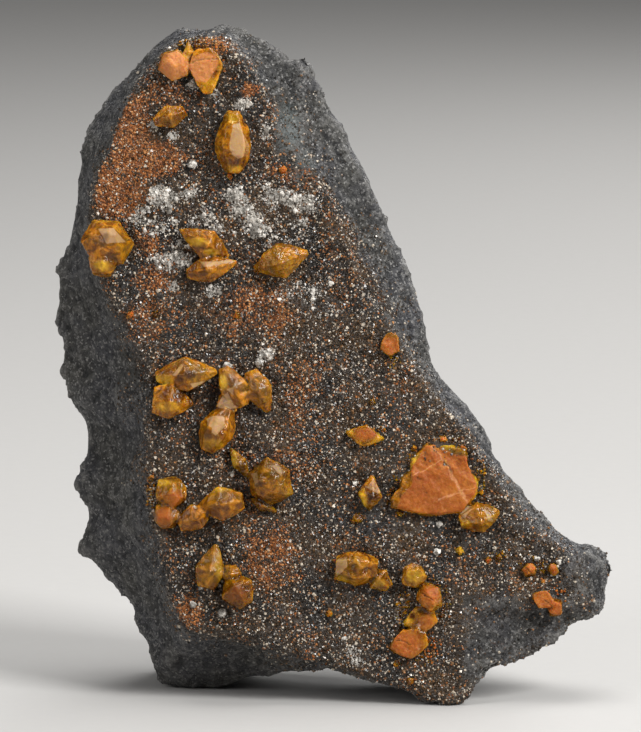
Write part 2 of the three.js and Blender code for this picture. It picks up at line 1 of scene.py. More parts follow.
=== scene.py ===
# %% [markdown]
# # Sturmanite on manganese ore
#
# The real thing is a splinter of dark manganese ore, as tall as a hand is wide. One of its faces was once the
# wall of a small open crack. Tiny black crystals grew all over that wall, then patches of white druse and
# rust, and last of all the honey-coloured sturmanite crystals. Every other side is broken ore.
#
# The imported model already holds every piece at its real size. This script loads it as a fixed frame, gives
# each piece its fine surface and its material, and sets up a plain studio to look at it.

import math

import bpy
import numpy as np
from mathutils import Matrix, Vector
from mathutils.bvhtree import BVHTree


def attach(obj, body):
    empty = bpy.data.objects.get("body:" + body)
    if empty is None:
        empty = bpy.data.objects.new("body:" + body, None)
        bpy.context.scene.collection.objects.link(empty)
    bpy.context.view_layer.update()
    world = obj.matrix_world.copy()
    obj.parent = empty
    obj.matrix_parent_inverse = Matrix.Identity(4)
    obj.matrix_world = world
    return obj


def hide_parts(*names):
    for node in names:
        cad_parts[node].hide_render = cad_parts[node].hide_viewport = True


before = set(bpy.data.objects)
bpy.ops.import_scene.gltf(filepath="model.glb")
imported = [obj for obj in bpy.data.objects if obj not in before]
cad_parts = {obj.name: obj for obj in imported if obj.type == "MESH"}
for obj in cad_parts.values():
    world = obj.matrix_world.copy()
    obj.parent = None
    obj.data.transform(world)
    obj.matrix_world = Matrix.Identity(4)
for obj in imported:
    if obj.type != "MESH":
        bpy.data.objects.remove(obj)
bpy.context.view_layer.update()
print("nodes in the frame:", len(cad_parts))

# %% [markdown]
# ## Working in face millimetres
#
# Everything on this specimen is easiest to describe as seen square to its crystal face: x to the right, y
# into the stone, z up the face, in millimetres. The stone stands leaning back, so that view is tipped by a
# few degrees. Each piece is therefore shaped in those face millimetres, and its mesh is turned into the
# frame's metres once it is done, so that its object can stay at the origin.

# %% From face millimetres to the frame
LEAN = math.radians(8)  # how far the crystal face leans back
FACE_ORIGIN = Vector((-0.0001, -0.003524, 0))  # where face millimetres start, in the frame's metres
FACE_TO_FRAME = Matrix.Translation(FACE_ORIGIN) @ Matrix.Rotation(-LEAN, 4, "X") @ Matrix.Scale(0.001, 4)
FRAME_TO_FACE = FACE_TO_FRAME.inverted()

print("the crystal face leans back by", round(math.degrees(LEAN)), "degrees")

# %% Read, move and paint the points of a mesh
def positions(mesh):
    """The places of a mesh's points, one row each."""
    flat = np.zeros(len(mesh.vertices) * 3, np.float32)
    mesh.vertices.foreach_get("co", flat)
    return flat.reshape(-1, 3).astype(float)


def normals(mesh):
    """The directions that a mesh's points face in."""
    flat = np.zeros(len(mesh.vertices) * 3, np.float32)
    mesh.vertex_normals.foreach_get("vector", flat)
    return flat.reshape(-1, 3).astype(float)


def move_points(mesh, places):
    mesh.vertices.foreach_set("co", places.astype(np.float32).ravel())
    mesh.update()


def paint(mesh, name, values):
    """Keeps one number for every point of a mesh, for a material or a node tree to read."""
    attribute = mesh.attributes.get(name) or mesh.attributes.new(name, "FLOAT", "POINT")
    attribute.data.foreach_set("value", np.asarray(values, np.float32))


def painted_on(mesh, name):
    values = np.zeros(len(mesh.vertices), np.float32)
    mesh.attributes[name].data.foreach_get("value", values)
    return values.astype(float)


# %% Clumps and ridges
OCTAVES = 3  # sizes of clump, each half the one before
WAVES = 6  # waves that cross in each size
CLUMP_RANGE = 2.2  # what their sum seldom passes


def smoothstep(low, high, values):
    share = np.clip((values - low) / (high - low), 0, 1)
    return share * share * (3 - 2 * share)


def clumps(mesh, size, seed):
    """A number from 0 to 1 for each point, alike within clumps of a size, to break up an even spread."""
    rng = np.random.default_rng(seed)
    places = positions(mesh) / size
    total = np.zeros(len(places))
    for octave in range(OCTAVES):
        for _ in range(WAVES):
            direction = rng.normal(size=3)
            direction *= 2 ** octave * math.tau / np.linalg.norm(direction) / 2
            total += np.sin(places @ direction + rng.uniform(0, math.tau)) / 2 ** octave
    return smoothstep(-CLUMP_RANGE, CLUMP_RANGE, total)


def standing_out(mesh, spacing, rounds):
    """How far each point stands out from its neighbourhood, in spacings: ridges above 0, creases below."""
    count = len(mesh.vertices)
    ends = np.zeros(2 * len(mesh.edges), np.int32)
    mesh.edges.foreach_get("vertices", ends)
    one, other = np.concatenate([ends.reshape(-1, 2), ends.reshape(-1, 2)[:, ::-1]]).T
    neighbours = np.bincount(one, minlength=count)
    places = positions(mesh)
    smoothed = places
    for _ in range(rounds):
        sums = [np.bincount(one, weights=smoothed[other, axis], minlength=count) for axis in range(3)]
        smoothed = np.stack(sums, 1) / neighbours[:, None]
    return ((places - smoothed) * normals(mesh)).sum(1) / spacing


# %% Take a CAD node's solid into face millimetres
def place_in_scene(name, mesh):
    thing = bpy.data.objects.new(name, mesh)
    bpy.context.scene.collection.objects.link(thing)
    return thing


def solid_of(node):
    """A copy of a node's solid with its shared points merged, in face millimetres."""
    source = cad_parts[node].data
    corners = np.round(positions(source) * 1e7).astype(np.int64)
    unique, place = np.unique(corners, axis=0, return_inverse=True)
    place = place.ravel()
    faces = [[int(place[v]) for v in face.vertices] for face in source.polygons]
    faces = [face for face in faces if len(set(face)) == len(face)]
    mesh = bpy.data.meshes.new(node)
    mesh.from_pydata((unique / 1e7).tolist(), [], faces)
    mesh.transform(FRAME_TO_FACE)
    return mesh


def as_made(thing):
    """The object's mesh with its modifiers worked in; the object is left bare."""
    bpy.context.view_layer.update()
    evaluated = thing.evaluated_get(bpy.context.evaluated_depsgraph_get())
    mesh = bpy.data.meshes.new_from_object(evaluated)
    thing.modifiers.clear()
    return mesh


def even_skin(mesh, spacing):
    """The same solid with a skin of even little squares, so that fine relief can be laid on it anywhere."""
    thing = place_in_scene("even_skin", mesh)
    remesh = thing.modifiers.new("even skin", "REMESH")
    remesh.mode = "VOXEL"
    remesh.voxel_size = spacing
    skin = as_made(thing)
    bpy.data.objects.remove(thing)
    return skin


# %% [markdown]
# ## Node trees
#
# Materials and Geometry Nodes are both built from nodes. One small function adds a node with its settings,
# and for each input either a value or the output that feeds it. It hands over one output of the new node, so
# that the next node can take it in. The kinds that come again and again have a short name. MATH and VECTORS
# take their numbers at inputs 0, 1 and 2. RANGE takes the value at 0 from the range at 1 and 2 to the range
# at 3 and 4. MIX has the share at 0 and either two numbers at 2 and 3 or two colours at 6 and 7.

# %% Add a node
MATH, VECTORS, RANGE = "ShaderNodeMath", "ShaderNodeVectorMath", "ShaderNodeMapRange"
MIX, NOISE = "ShaderNodeMix", "ShaderNodeTexNoise"


def feed(tree, node, inputs):
    """Gives each input its value, or a link from the output that it is given."""
    for socket, value in inputs.items():
        if isinstance(value, bpy.types.NodeSocket):
            tree.links.new(value, node.inputs[socket])
        else:
            node.inputs[socket].default_value = value


def add_node(tree, kind, inputs=None, out=0, **settings):
    made = tree.nodes.new(kind)
    for name, value in settings.items():
        setattr(made, name, value)
    feed(tree, made, inputs or {})
    return made.outputs[out] if made.outputs else None


# %% Start and finish a material
def linear(code):
    """An sRGB hex colour such as "b9852a", as the linear colour that nodes take."""
    channels = [int(code[i:i + 2], 16) / 255 for i in (0, 2, 4)]
    return tuple(c / 12.92 if c <= 0.04045 else ((c + 0.055) / 1.055) ** 2.4 for c in channels) + (1.0,)


def per_mm(size):
    """The Scale of a texture in a material whose pattern repeats every so many millimetres."""
    return 1000 / size


def new_material(name, noises, painted=()):
    """A material, its tree, and by name what drives it: its Object coordinates, noises given by their size in
    millimetres, detail, roughness and distortion, and the numbers that are painted on the mesh."""
    material = bpy.data.materials.new(name)
    material.use_nodes = True
    tree = material.node_tree
    drivers = {"place": add_node(tree, "ShaderNodeTexCoord", out="Object")}
    for noise, (size, detail, roughness, distortion) in noises.items():
        cloudy = {"Vector": drivers["place"], "Scale": per_mm(size), "Detail": detail}
        drivers[noise] = add_node(tree, NOISE, {**cloudy, "Roughness": roughness, "Distortion": distortion})
    for number in painted:
        drivers[number] = add_node(tree, "ShaderNodeAttribute", out="Fac", attribute_name=number)
    return material, tree, drivers


def coated(tree, colour, coats):
    """A colour with coats laid over it. Each coat has what drives it, two values of that, the share that it
    covers at each of them, and its own colour."""
    for driver, start, end, at_start, at_end, coat in coats:
        share = add_node(tree, RANGE, {0: driver, 1: start, 2: end, 3: at_start, 4: at_end})
        colour = add_node(tree, MIX, {0: share, 6: colour, 7: coat}, out=2, data_type="RGBA")
    return colour


def shaded(material, inputs):
    """The material, once its Principled BSDF has been given its inputs."""
    feed(material.node_tree, material.node_tree.nodes["Principled BSDF"], inputs)
    return material


# %% Start, end and run a Geometry Nodes tree
def grow(tree, inputs):
    """The start of a Geometry Nodes tree: its named inputs, and the node that hands them over."""
    kinds = {float: "NodeSocketFloat", int: "NodeSocketInt", bpy.types.Material: "NodeSocketMaterial"}
    tree.interface.new_socket("Geometry", in_out="INPUT", socket_type="NodeSocketGeometry")
    tree.interface.new_socket("Geometry", in_out="OUTPUT", socket_type="NodeSocketGeometry")
    for name, kind in inputs.items():
        tree.interface.new_socket(name, in_out="INPUT", socket_type=kinds[kind])
    return tree.nodes.new("NodeGroupInput").outputs


def end_tree(tree, geometry, material):
    """The end of every tree: instances made real, because an export drops them, and the material set."""
    real = add_node(tree, "GeometryNodeRealizeInstances", {0: geometry})
    dressed = add_node(tree, "GeometryNodeSetMaterial", {0: real, "Material": material})
    add_node(tree, "NodeGroupOutput", {0: dressed})


def run_tree(thing, tree, **values):
    """Runs a Geometry Nodes tree on an object and gives back the plain mesh that it makes."""
    modifier = thing.modifiers.new(tree.name, "NODES")
    modifier.node_group = tree
    for item in tree.interface.items_tree:
        if item.in_out == "INPUT" and item.name in values:
            modifier[item.identifier] = values[item.name]
    return as_made(thing)


# %% [markdown]
# ## The studio
#
# A dark, rough stone needs soft light from more than one side, or its broken flanks turn into black holes. A
# pale floor, a large soft light on each side, one above and one behind do that. A long lens from more than a
# metre away shows the stone without foreshortening, square to its crystal face.

# %% Camera
PICTURE = (641, 732)  # pixels
PIXEL = 0.135  # millimetres of the crystal face to one pixel
VIEW_CENTRE = Vector((-1.7, -11.5, 44.1))  # in face millimetres
CAMERA_AWAY = 1200  # millimetres
SENSOR = 36.0  # millimetres, for the picture's longer side


def aim(thing, place, target):
    thing.location = place
    thing.rotation_euler = (target - place).to_track_quat("-Z", "Y").to_euler()


lens = bpy.data.cameras.new("camera")
lens.sensor_width = SENSOR
lens.lens = SENSOR * CAMERA_AWAY / (PIXEL * max(PICTURE))
lens.clip_start, lens.clip_end = 0.05, 20  # metres
camera = bpy.data.objects.new("camera", lens)
bpy.context.scene.collection.objects.link(camera)
aim(camera, FACE_TO_FRAME @ (VIEW_CENTRE - Vector((0, CAMERA_AWAY, 0))), FACE_TO_FRAME @ VIEW_CENTRE)
bpy.context.scene.camera = camera
print("lens:", round(lens.lens), "mm")

# %% Floor
FLOOR_RADIUS = 5.0  # metres
FLOOR_SIDES = 64


def studio_paper():
    """Matt card, a little uneven in tone as pressed fibres are."""
    material, tree, drivers = new_material("pale studio paper", {"fibres": (2.0, 3.0, 0.55, 0.0)})
    colour = coated(tree, linear("b3b1ae"), [(drivers["fibres"], 0.0, 1.0, 0.0, 1.0, linear("b7b5b2"))])
    return shaded(material, {"Base Color": colour, "Roughness": 0.8})


disc = bpy.data.meshes.new("floor")
turns = np.linspace(0, math.tau, FLOOR_SIDES + 1)[:-1]
ring = [(FLOOR_RADIUS * math.cos(turn), FLOOR_RADIUS * math.sin(turn), 0) for turn in turns]
disc.from_pydata(ring, [], [range(len(ring))])
floor = place_in_scene("floor", disc)
disc.materials.append(studio_paper())

# %% Lights
STONE_MIDDLE = Vector((0, 0, 0.045))  # metres
SOFTBOXES = {  # place, width and height in metres, and watts
    "right softbox": ((0.48, -0.42, 0.52), (0.28, 0.36), 8.0),
    "left softbox": ((-0.60, -0.40, 0.35), (0.30, 0.45), 2.0),
    "top light": ((0.0, 0.10, 0.75), (0.5, 0.4), 4.0),
    "back light": ((0.35, 0.60, 0.40), (0.5, 0.4), 2.4),
}


def soft_light(name, place, size, watts):
    light = bpy.data.lights.new(name, "AREA")
    light.shape = "RECTANGLE"
    light.size, light.size_y = size
    light.energy = watts
    lamp = bpy.data.objects.new(name, light)
    bpy.context.scene.collection.objects.link(lamp)
    aim(lamp, Vector(place), STONE_MIDDLE)


for name, softbox in SOFTBOXES.items():
    soft_light(name, *softbox)
print("softboxes:", sum(watts for _, _, watts in SOFTBOXES.values()), "watts in all")

world = bpy.data.worlds.new("studio walls")
world.use_nodes = True
walls = {"Color": linear("dfe0e2"), "Strength": 0.12}
feed(world.node_tree, world.node_tree.nodes["Background"], walls)
bpy.context.scene.world = world
bpy.context.scene.view_settings.view_transform = "Standard"

# %% [markdown]
# ## The ore
#
# Braunite ore is dark grey with a breath of violet, dull where it broke, and full of pin-prick glints from
# the cleavage of its grains. The grey comes from two sizes of noise, the glints from a cell pattern that tips
# the surface a little differently in each cell, as the real grains do. Their real size is about a quarter of
# a millimetre. Some cells also get a painted glint, a coat of pale grey, and the colour has painted shade in
# creases and pits and a painted highlight on ridges. The back also has a weathered bloom and brown stains.
# Where the crystal face, its rust and its white druse are is read from numbers that get painted on the stone
# further down.

# %% Material of the ore
GRAIN = 0.26  # millimetres
TIP = 1.3  # how strongly the grains' faces turn away from the surface
PIT_DEPTH = 0.0009  # metres
ORE_NOISES = {  # size in millimetres, detail, roughness and distortion
    "cloud": (7.0, 4.0, 0.55, 0.0), "pits": (1.3, 7.0, 0.72, 0.0), "weather": (15.0, 5.0, 0.6, 0.8),
    "dust": (5.0, 4.0, 0.55, 0.0), "crumbs": (0.5, 4.0, 0.55, 0.0),
}
ORE_MARKS = ("ridge", "ledge", "back", "face", "rust", "white")


def crumbled(tree, patch, crumbs, contrast, loss):
    """A painted patch broken up by crumbs of noise."""
    rough = add_node(tree, MATH, {0: crumbs, 1: contrast, 2: -loss}, operation="MULTIPLY_ADD")
    return add_node(tree, MATH, {0: patch, 1: rough}, operation="ADD")


def tipped_grains(tree, cells, pits):
    """The surface's direction, tipped a little differently in every grain, with pits."""
    direction = add_node(tree, "ShaderNodeNewGeometry", out="Normal")
    tipped = add_node(tree, VECTORS, {0: cells, 1: (0.5, 0.5, 0.5)}, operation="SUBTRACT")
    tipped = add_node(tree, VECTORS, {0: tipped, 1: (TIP, TIP, TIP), 2: direction}, operation="MULTIPLY_ADD")
    tipped = add_node(tree, VECTORS, {0: tipped}, operation="NORMALIZE")
    pitted = {"Height": pits, "Distance": PIT_DEPTH, "Strength": 1.0, "Normal": tipped}
    return add_node(tree, "ShaderNodeBump", pitted)


def braunite():
    """Braunite: dark, of high index, matt where it broke and bright on the cleavage of single grains, with
    painted glints.
    """
    material, tree, drivers = new_material("braunite ore, broken and stained", ORE_NOISES, ORE_MARKS)
    cloud, pits, weather, dust, crumbs = (drivers[name] for name in ORE_NOISES)
    ridge, ledge, back, face, rust, white = (drivers[name] for name in ORE_MARKS)
    grain = {"Vector": drivers["place"], "Scale": per_mm(GRAIN)}
    cells = add_node(tree, "ShaderNodeTexVoronoi", grain, out="Color")
    # Three random numbers for each grain: how dark it is, whether it gets a painted glint, and how rough it
    # is.
    dark, painted_glint, dull = add_node(tree, "ShaderNodeSeparateColor", {0: cells}).node.outputs

    # Height of the relief: the coats below turn it into painted shade in creases and pits and a painted
    # highlight on ridges.
    height = add_node(tree, RANGE, {0: ridge, 1: -0.5, 2: 0.5, 3: -0.2, 4: 0.2})
    height = add_node(tree, MATH, {0: height, 1: pits}, operation="ADD")
    bloom = add_node(tree, RANGE, {0: weather, 1: 0.50, 2: 0.66, 3: 0.0, 4: 0.5})
    bloom = add_node(tree, MATH, {0: bloom, 1: back}, operation="MULTIPLY")
    stain = add_node(tree, RANGE, {0: weather, 1: 0.46, 2: 0.36, 3: 0.0, 4: 0.6})
    stain = add_node(tree, MATH, {0: stain, 1: back}, operation="MULTIPLY")
    grey = coated(tree, linear("47474c"), [(cloud, 0.4, 0.6, 0.0, 1.0, linear("4a4842"))])
    ground = coated(tree, linear("211a12"), [(dust, 0.38, 0.62, 0.0, 1.0, linear("4a3724"))])
    brown = coated(tree, linear("482a10"), [(crumbs, 0.0, 1.0, 0.0, 1.0, linear("8a5428"))])
    colour = coated(tree, linear("161617"), [
        # painted shade in creases and pits, then a painted highlight on ridges
        (height, 0.30, 0.56, 0.0, 1.0, grey),
        (height, 0.52, 0.80, 0.0, 1.0, linear("85837f")),
        (dark, 0.0, 1.0, 0.62, 0.0, linear("0b0b0b")),
        # painted glint: pale grey on some grains
        (painted_glint, 0.80, 0.96, 0.0, 0.6, linear("a3a09c")),
        (ledge, 0.0, 1.0, 0.0, 0.4, linear("7b8583")),
        (bloom, 0.0, 1.0, 0.0, 1.0, linear("7d7a74")),
        (stain, 0.0, 1.0, 0.0, 1.0, linear("4a3826")),
        (face, 0.0, 1.0, 0.0, 0.85, ground),
        (crumbled(tree, rust, crumbs, 1.2, 0.75), 0.1, 0.6, 0.0, 1.0, brown),
        (crumbled(tree, white, crumbs, 1.6, 1.1), 0.1, 0.6, 0.0, 0.9, linear("cfc9bf")),
    ])
    rough = add_node(tree, RANGE, {0: dull, 1: 0.0, 2: 1.0, 3: 0.32, 4: 0.75})
    direction = tipped_grains(tree, cells, pits)
    return shaded(material, {"Base Color": colour, "Roughness": rough, "IOR": 1.55, "Normal": direction})


# %% [markdown]
# ## The stone
#
# Manganese ore breaks like hard, fine-grained brick: shallow hollows, low ledges, and a grain that can be
# felt. The solid has the big forms. Here its skin is made even first and pushed out a little where the real
# outline swells, and a Geometry Nodes tree then moves each point in or out by layered noise. That keeps one
# closed mesh, and lets the crystal face have lumps of its own. The solid's own facets are too large to bend.
# Last, edges that stand out are chipped, and the feet are made flat.

# %% Where the crystal face is
SKIN = 0.42  # millimetres between the points of the stone's skin
FACE_FOOT = -12.9  # y of the crystal face at its foot
FACE_SLOPE = math.tan(math.radians(1.8))
SPUR_START, SPUR_SLOPE = 18, 0.14  # the x from which the face turns back on to the spur, and how steeply
FACE_ENDS = (0.5, 2.4)  # millimetres behind the face over which it gives way to broken ore
RIM_ENDS = (1.0, 7.0)  # the same for the last black grains round its rim


def face_depth(x, z):
    """y of the crystal face, without its hollows."""
    return FACE_FOOT + z * FACE_SLOPE + SPUR_SLOPE * np.maximum(0, x - SPUR_START)


def behind_face(mesh, ragged, size, seed):
    """How far each point is behind the face, in millimetres, give or take a ragged edge."""
    x, y, z = positions(mesh).T
    return y - face_depth(x, z) + ragged * (clumps(mesh, size, seed) - 0.5)


def on_face(mesh):
    """1 on the crystal face, falling to 0 where the broken flanks begin."""
    behind = behind_face(mesh, ragged=1.6, size=4.0, seed=3)
    return (1 - smoothstep(*FACE_ENDS, behind)) * smoothstep(0.0, 0.5, -normals(mesh)[:, 1])


def near_face(mesh):
    """1 on the crystal face and close behind its rim, falling to 0 on the flanks."""
    behind = behind_face(mesh, ragged=4.0, size=5.0, seed=4)
    return (1 - smoothstep(*RIM_ENDS, behind)) * smoothstep(-0.1, 0.3, -normals(mesh)[:, 1])


# %% An even skin with the outline's swellings
SWELLINGS = [  # x, z, radius, and the push in x and in z
    (-19.3, 89.0, 5.0, -0.3, 0.2), (-4.6, 84.6, 2.2, 0.4, 0.9), (-32.0, 17.0, 4.4, -1.5, 0.2),
    (36.2, 18.4, 4.2, 0.6, 1.2), (34.4, 11.2, 4.0, 1.0, -0.7), (25.4, 4.8, 4.4, 0.2, -0.7),
    (21.4, 2.2, 3.0, 1.2, -0.2), (-35.2, 38.9, 4.0, -0.5, 0.0), (-36.8, 44.1, 2.5, -0.4, 0.0),
    (-35.0, 27.9, 3.0, -0.5, 0.0),
]
SWOLLEN_WHOLE = 0.2  # the share of the radius that gets the whole push


def swollen(places):
    """Points moved sideways by the swellings, each fading out at its radius."""
    moved = places.copy()
    for x, z, radius, push_x, push_z in SWELLINGS:
        away = np.hypot(places[:, 0] - x, places[:, 2] - z) / radius
        share = 1 - smoothstep(SWOLLEN_WHOLE, 1.0, away)
        moved[:, 0] += push_x * share
        moved[:, 2] += push_z * share
    return moved


stone_skin = even_skin(solid_of("matrix"), SKIN)
move_points(stone_skin, swollen(positions(stone_skin)))
paint(stone_skin, "face", on_face(stone_skin))
print("stone's skin:", len(stone_skin.polygons), "squares")

# %% The relief of broken ore and of the crystal face
STONE_RELIEF = {  # all in millimetres
    "Break size": 5.0, "Break depth": 0.5, "Ledge size": 12.0, "Ledge depth": 2.0,
    "Lump size": 2.6, "Lump depth": 1.5,
}
BLOCKS = ((1.0, 0.7), (2.4, 0.6), (5.0, 0.45))  # times finer than the break size, and share of its depth
BLOCK_MIDDLE = 0.6  # the pattern's usual value, where a block neither stands out nor lies deep
BREAK_LIFT = 0.9  # break depths that broken ore is moved out as a whole
WARP_SCALE, WARP = 0.35, 3.0  # waves to a millimetre, and millimetres, by which the blocks are bent
LEDGE_STEP = 0.09  # how much of the noise one ledge takes up
LEDGE_TILT = 0.6  # how much of the smooth noise is left, so that ledges slope


def relief_tree():
    tree = bpy.data.node_groups.new("stone relief", "GeometryNodeTree")
    given = grow(tree, {**{name: float for name in STONE_RELIEF}, "Material": bpy.types.Material})
    place = add_node(tree, "GeometryNodeInputPosition")
    normal = add_node(tree, "GeometryNodeInputNormal")
    face = add_node(tree, "GeometryNodeInputNamedAttribute", {"Name": "face"}, data_type="FLOAT")

    # Broken ore: blocks whose flat sides meet in ridges, at three sizes, drawn on a warped place so that no
    # two blocks are alike.
    warp = add_node(tree, NOISE, {"Vector": place, "Scale": WARP_SCALE, "Detail": 2.0}, out="Color")
    warp = add_node(tree, VECTORS, {0: warp, 1: (WARP, WARP, WARP), 2: place}, operation="MULTIPLY_ADD")
    broken = BREAK_LIFT
    for finer, share in BLOCKS:
        scale = add_node(tree, MATH, {0: finer, 1: given["Break size"]}, operation="DIVIDE")
        hollow = {"Vector": warp, "Scale": scale}
        hollow = add_node(tree, "ShaderNodeTexVoronoi", hollow, distance="MANHATTAN")
        block = add_node(tree, MATH, {0: BLOCK_MIDDLE, 1: hollow}, operation="SUBTRACT")
        broken = add_node(tree, MATH, {0: block, 1: share, 2: broken}, operation="MULTIPLY_ADD")
    broken = add_node(tree, MATH, {0: broken, 1: given["Break depth"]}, operation="MULTIPLY")

    # The back: low ledges, where flakes sprang off.
    scale = add_node(tree, MATH, {0: 1.0, 1: given["Ledge size"]}, operation="DIVIDE")
    flakes = {"Vector": warp, "Scale": scale, "Detail": 1.5, "Distortion": 0.6}
    flakes = add_node(tree, NOISE, flakes)
    steps = add_node(tree, MATH, {0: flakes, 1: LEDGE_STEP}, operation="SNAP")
    slopes = add_node(tree, MATH, {0: flakes, 1: LEDGE_TILT, 2: steps}, operation="MULTIPLY_ADD")
    ledges = add_node(tree, RANGE, {0: slopes, 1: 0.5, 2: 1.1, 3: -0.3, 4: 0.7})
    ledges = add_node(tree, MATH, {0: ledges, 1: given["Ledge depth"]}, operation="MULTIPLY")
    backwards = add_node(tree, "ShaderNodeSeparateXYZ", {0: normal}, out="Y")
    backwards = add_node(tree, RANGE, {0: backwards, 1: -0.2, 2: 0.5})
    ledges = add_node(tree, MATH, {0: ledges, 1: backwards}, operation="MULTIPLY")
    broken = add_node(tree, MATH, {0: broken, 1: ledges}, operation="SUBTRACT")

    # The crystal face: soft lumps and knots.
    scale = add_node(tree, MATH, {0: 1.0, 1: given["Lump size"]}, operation="DIVIDE")
    lumps = {"Vector": place, "Scale": scale, "Detail": 2.5, "Roughness": 0.62}
    lumps = add_node(tree, NOISE, lumps)
    lumps = add_node(tree, MATH, {0: lumps, 1: 0.5}, operation="SUBTRACT")
    lumps = add_node(tree, MATH, {0: lumps, 1: given["Lump depth"]}, operation="MULTIPLY")

    outwards = add_node(tree, MIX, {0: face, 2: broken, 3: lumps}, data_type="FLOAT")
    shift = add_node(tree, VECTORS, {0: normal, "Scale": outwards}, operation="SCALE")
    moved = add_node(tree, "GeometryNodeSetPosition", {"Geometry": given[0], "Offset": shift})
    end_tree(tree, moved, given["Material"])
    return tree


stone = place_in_scene("stone", stone_skin)
stone.data = run_tree(stone, relief_tree(), **STONE_RELIEF, Material=braunite())
print("stone:", len(stone.data.vertices), "points,", len(stone.data.polygons), "squares")

# %% Chip the edges and flatten the feet
EDGE_ROUNDS = 30  # rounds of smoothing that tell an edge from its neighbourhood
EDGE_START, SHARPEST = 0.5, 3  # spacings that a point stands out before it is an edge, and the most counted
CHIP_SIZE = 3.2  # millimetres along an edge
CHIP_SHARE, WHOLE_SHARE = 1.5, 0.2  # how deep chips are for their edge, and how much of it stays whole
DEEPEST_CHIP = 0.9  # millimetres


def chips(mesh):
    """How far each point on an edge of broken ore is knocked in, in millimetres."""
    edge = np.clip(standing_out(mesh, SKIN, EDGE_ROUNDS) - EDGE_START, 0, SHARPEST)
    edge = edge * (1 - painted_on(mesh, "face"))
    chipped = CHIP_SHARE * clumps(mesh, CHIP_SIZE, seed=31) - WHOLE_SHARE
    return np.clip(edge * SKIN * chipped, 0, DEEPEST_CHIP)


def stood_flat(places):
    """Points lower than the floor lifted on to it."""
    up = np.array((0, -math.sin(LEAN), math.cos(LEAN)))
    return places - np.minimum(places @ up, 0)[:, None] * up


chip_depths = chips(stone.data)
chipped = positions(stone.data) - normals(stone.data) * chip_depths[:, None]
move_points(stone.data, stood_flat(chipped))
print("deepest chip:", round(float(chip_depths.max()), 2), "mm")

# %% [markdown]
# ## Rust, white druse and bare ground
#
# Rust runs down from the top left, white druse lies in patches across the upper half, and at the lower right
# a flake has sprung off and left bare ore. Each patch is a soft oval given by its middle, its half width and
# half height and its strength. The ovals are painted on the stone's points as numbers, which the grains and
# the material both read, and noise breaks up their edges in both.

# %% Patches on the crystal face
RUST = [
    (-27.2, 76.5, 3.4, 5.2, 1.0), (-25.5, 72.3, 5.2, 3.4, 1.0), (-28.8, 67.8, 4.4, 4.6, 1.0),
    (-21.8, 72.0, 2.6, 2.4, 0.8), (-22.8, 80.8, 3.8, 2.4, 0.45), (-16.8, 87.2, 3.2, 1.6, 0.8),
    (-11.4, 81.3, 1.3, 1.3, 0.8), (-6.2, 70.0, 3.6, 2.0, 0.35), (-25.5, 61.0, 2.8, 2.2, 0.5),
    (-25.0, 55.8, 3.6, 2.2, 0.6), (-26.0, 50.5, 3.6, 5.0, 0.5), (-11.0, 51.5, 11.0, 4.2, 0.5),
    (-8.0, 17.8, 5.0, 5.0, 0.55), (-19.3, 10.8, 2.2, 2.4, 0.6), (-9.0, 30.0, 6.0, 5.0, 0.3),
    (21.8, 5.5, 3.0, 2.0, 0.7), (-3.0, 40.0, 6.0, 6.0, 0.25),
]
WHITE = [
    (-23.2, 67.0, 2.4, 1.8, 1.0), (-19.0, 67.5, 0.8, 1.0, 0.8), (-13.4, 67.1, 1.5, 1.1, 1.0),
    (-12.2, 65.5, 1.4, 1.6, 1.0), (-10.6, 63.4, 1.8, 2.0, 0.9), (-7.2, 67.2, 1.8, 1.1, 0.9),
    (-4.2, 66.0, 3.0, 1.7, 0.7), (-26.4, 64.2, 1.6, 1.2, 0.8), (-22.0, 58.2, 3.4, 1.6, 0.8),
    (-15.8, 62.4, 1.3, 1.0, 0.9), (-2.2, 52.8, 3.0, 3.4, 0.45), (-5.2, 54.2, 2.8, 1.5, 0.5),
    (-21.7, 54.9, 0.9, 0.7, 0.8), (-16.2, 54.2, 1.1, 0.9, 0.8), (-18.9, 82.2, 1.0, 0.8, 0.9),
    (-21.6, 75.2, 0.8, 0.7, 0.9), (-24.4, 76.8, 0.8, 0.7, 0.9), (-16.1, 80.7, 0.9, 0.9, 0.7),
    (-12.2, 79.6, 1.5, 1.0, 0.6), (-9.0, 76.2, 1.0, 2.0, 0.45), (2.6, 6.0, 2.0, 4.0, 0.35),
    (7.0, 1.4, 2.0, 0.8, 0.5), (-9.0, 45.6, 1.4, 1.0, 0.5), (-7.0, 60.6, 3.4, 1.4, 0.4),
    (-8.0, 64.5, 6.0, 5.4, 0.3), (-20.0, 64.0, 6.5, 4.6, 0.28), (-12.6, 65.4, 2.2, 3.4, 0.7),
]
BARE = [
    (22.8, 8.6, 6.0, 6.0, 1.0), (19.0, 11.6, 2.4, 2.6, 0.8), (30.0, 9.4, 6.0, 5.0, 1.0),
    (35.0, 16.0, 6.0, 5.0, 0.9), (19.8, 3.6, 3.0, 4.0, 0.9), (-6.6, 75.4, 1.8, 4.6, 0.75),
    (-4.6, 71.0, 1.5, 3.0, 0.7), (26.0, 23.0, 3.0, 5.0, 0.6), (7.0, 22.6, 5.0, 1.6, 0.35),
]
LEDGE = [  # pale blue-grey ore
    (-6.2, 75.6, 2.2, 4.6, 1.0), (-4.4, 70.6, 2.2, 3.4, 0.9), (17.0, 12.8, 2.0, 1.2, 0.6),
]
OVAL_ENDS = (0.45, 1.15)  # where an oval starts to fade and where it has gone, in half widths


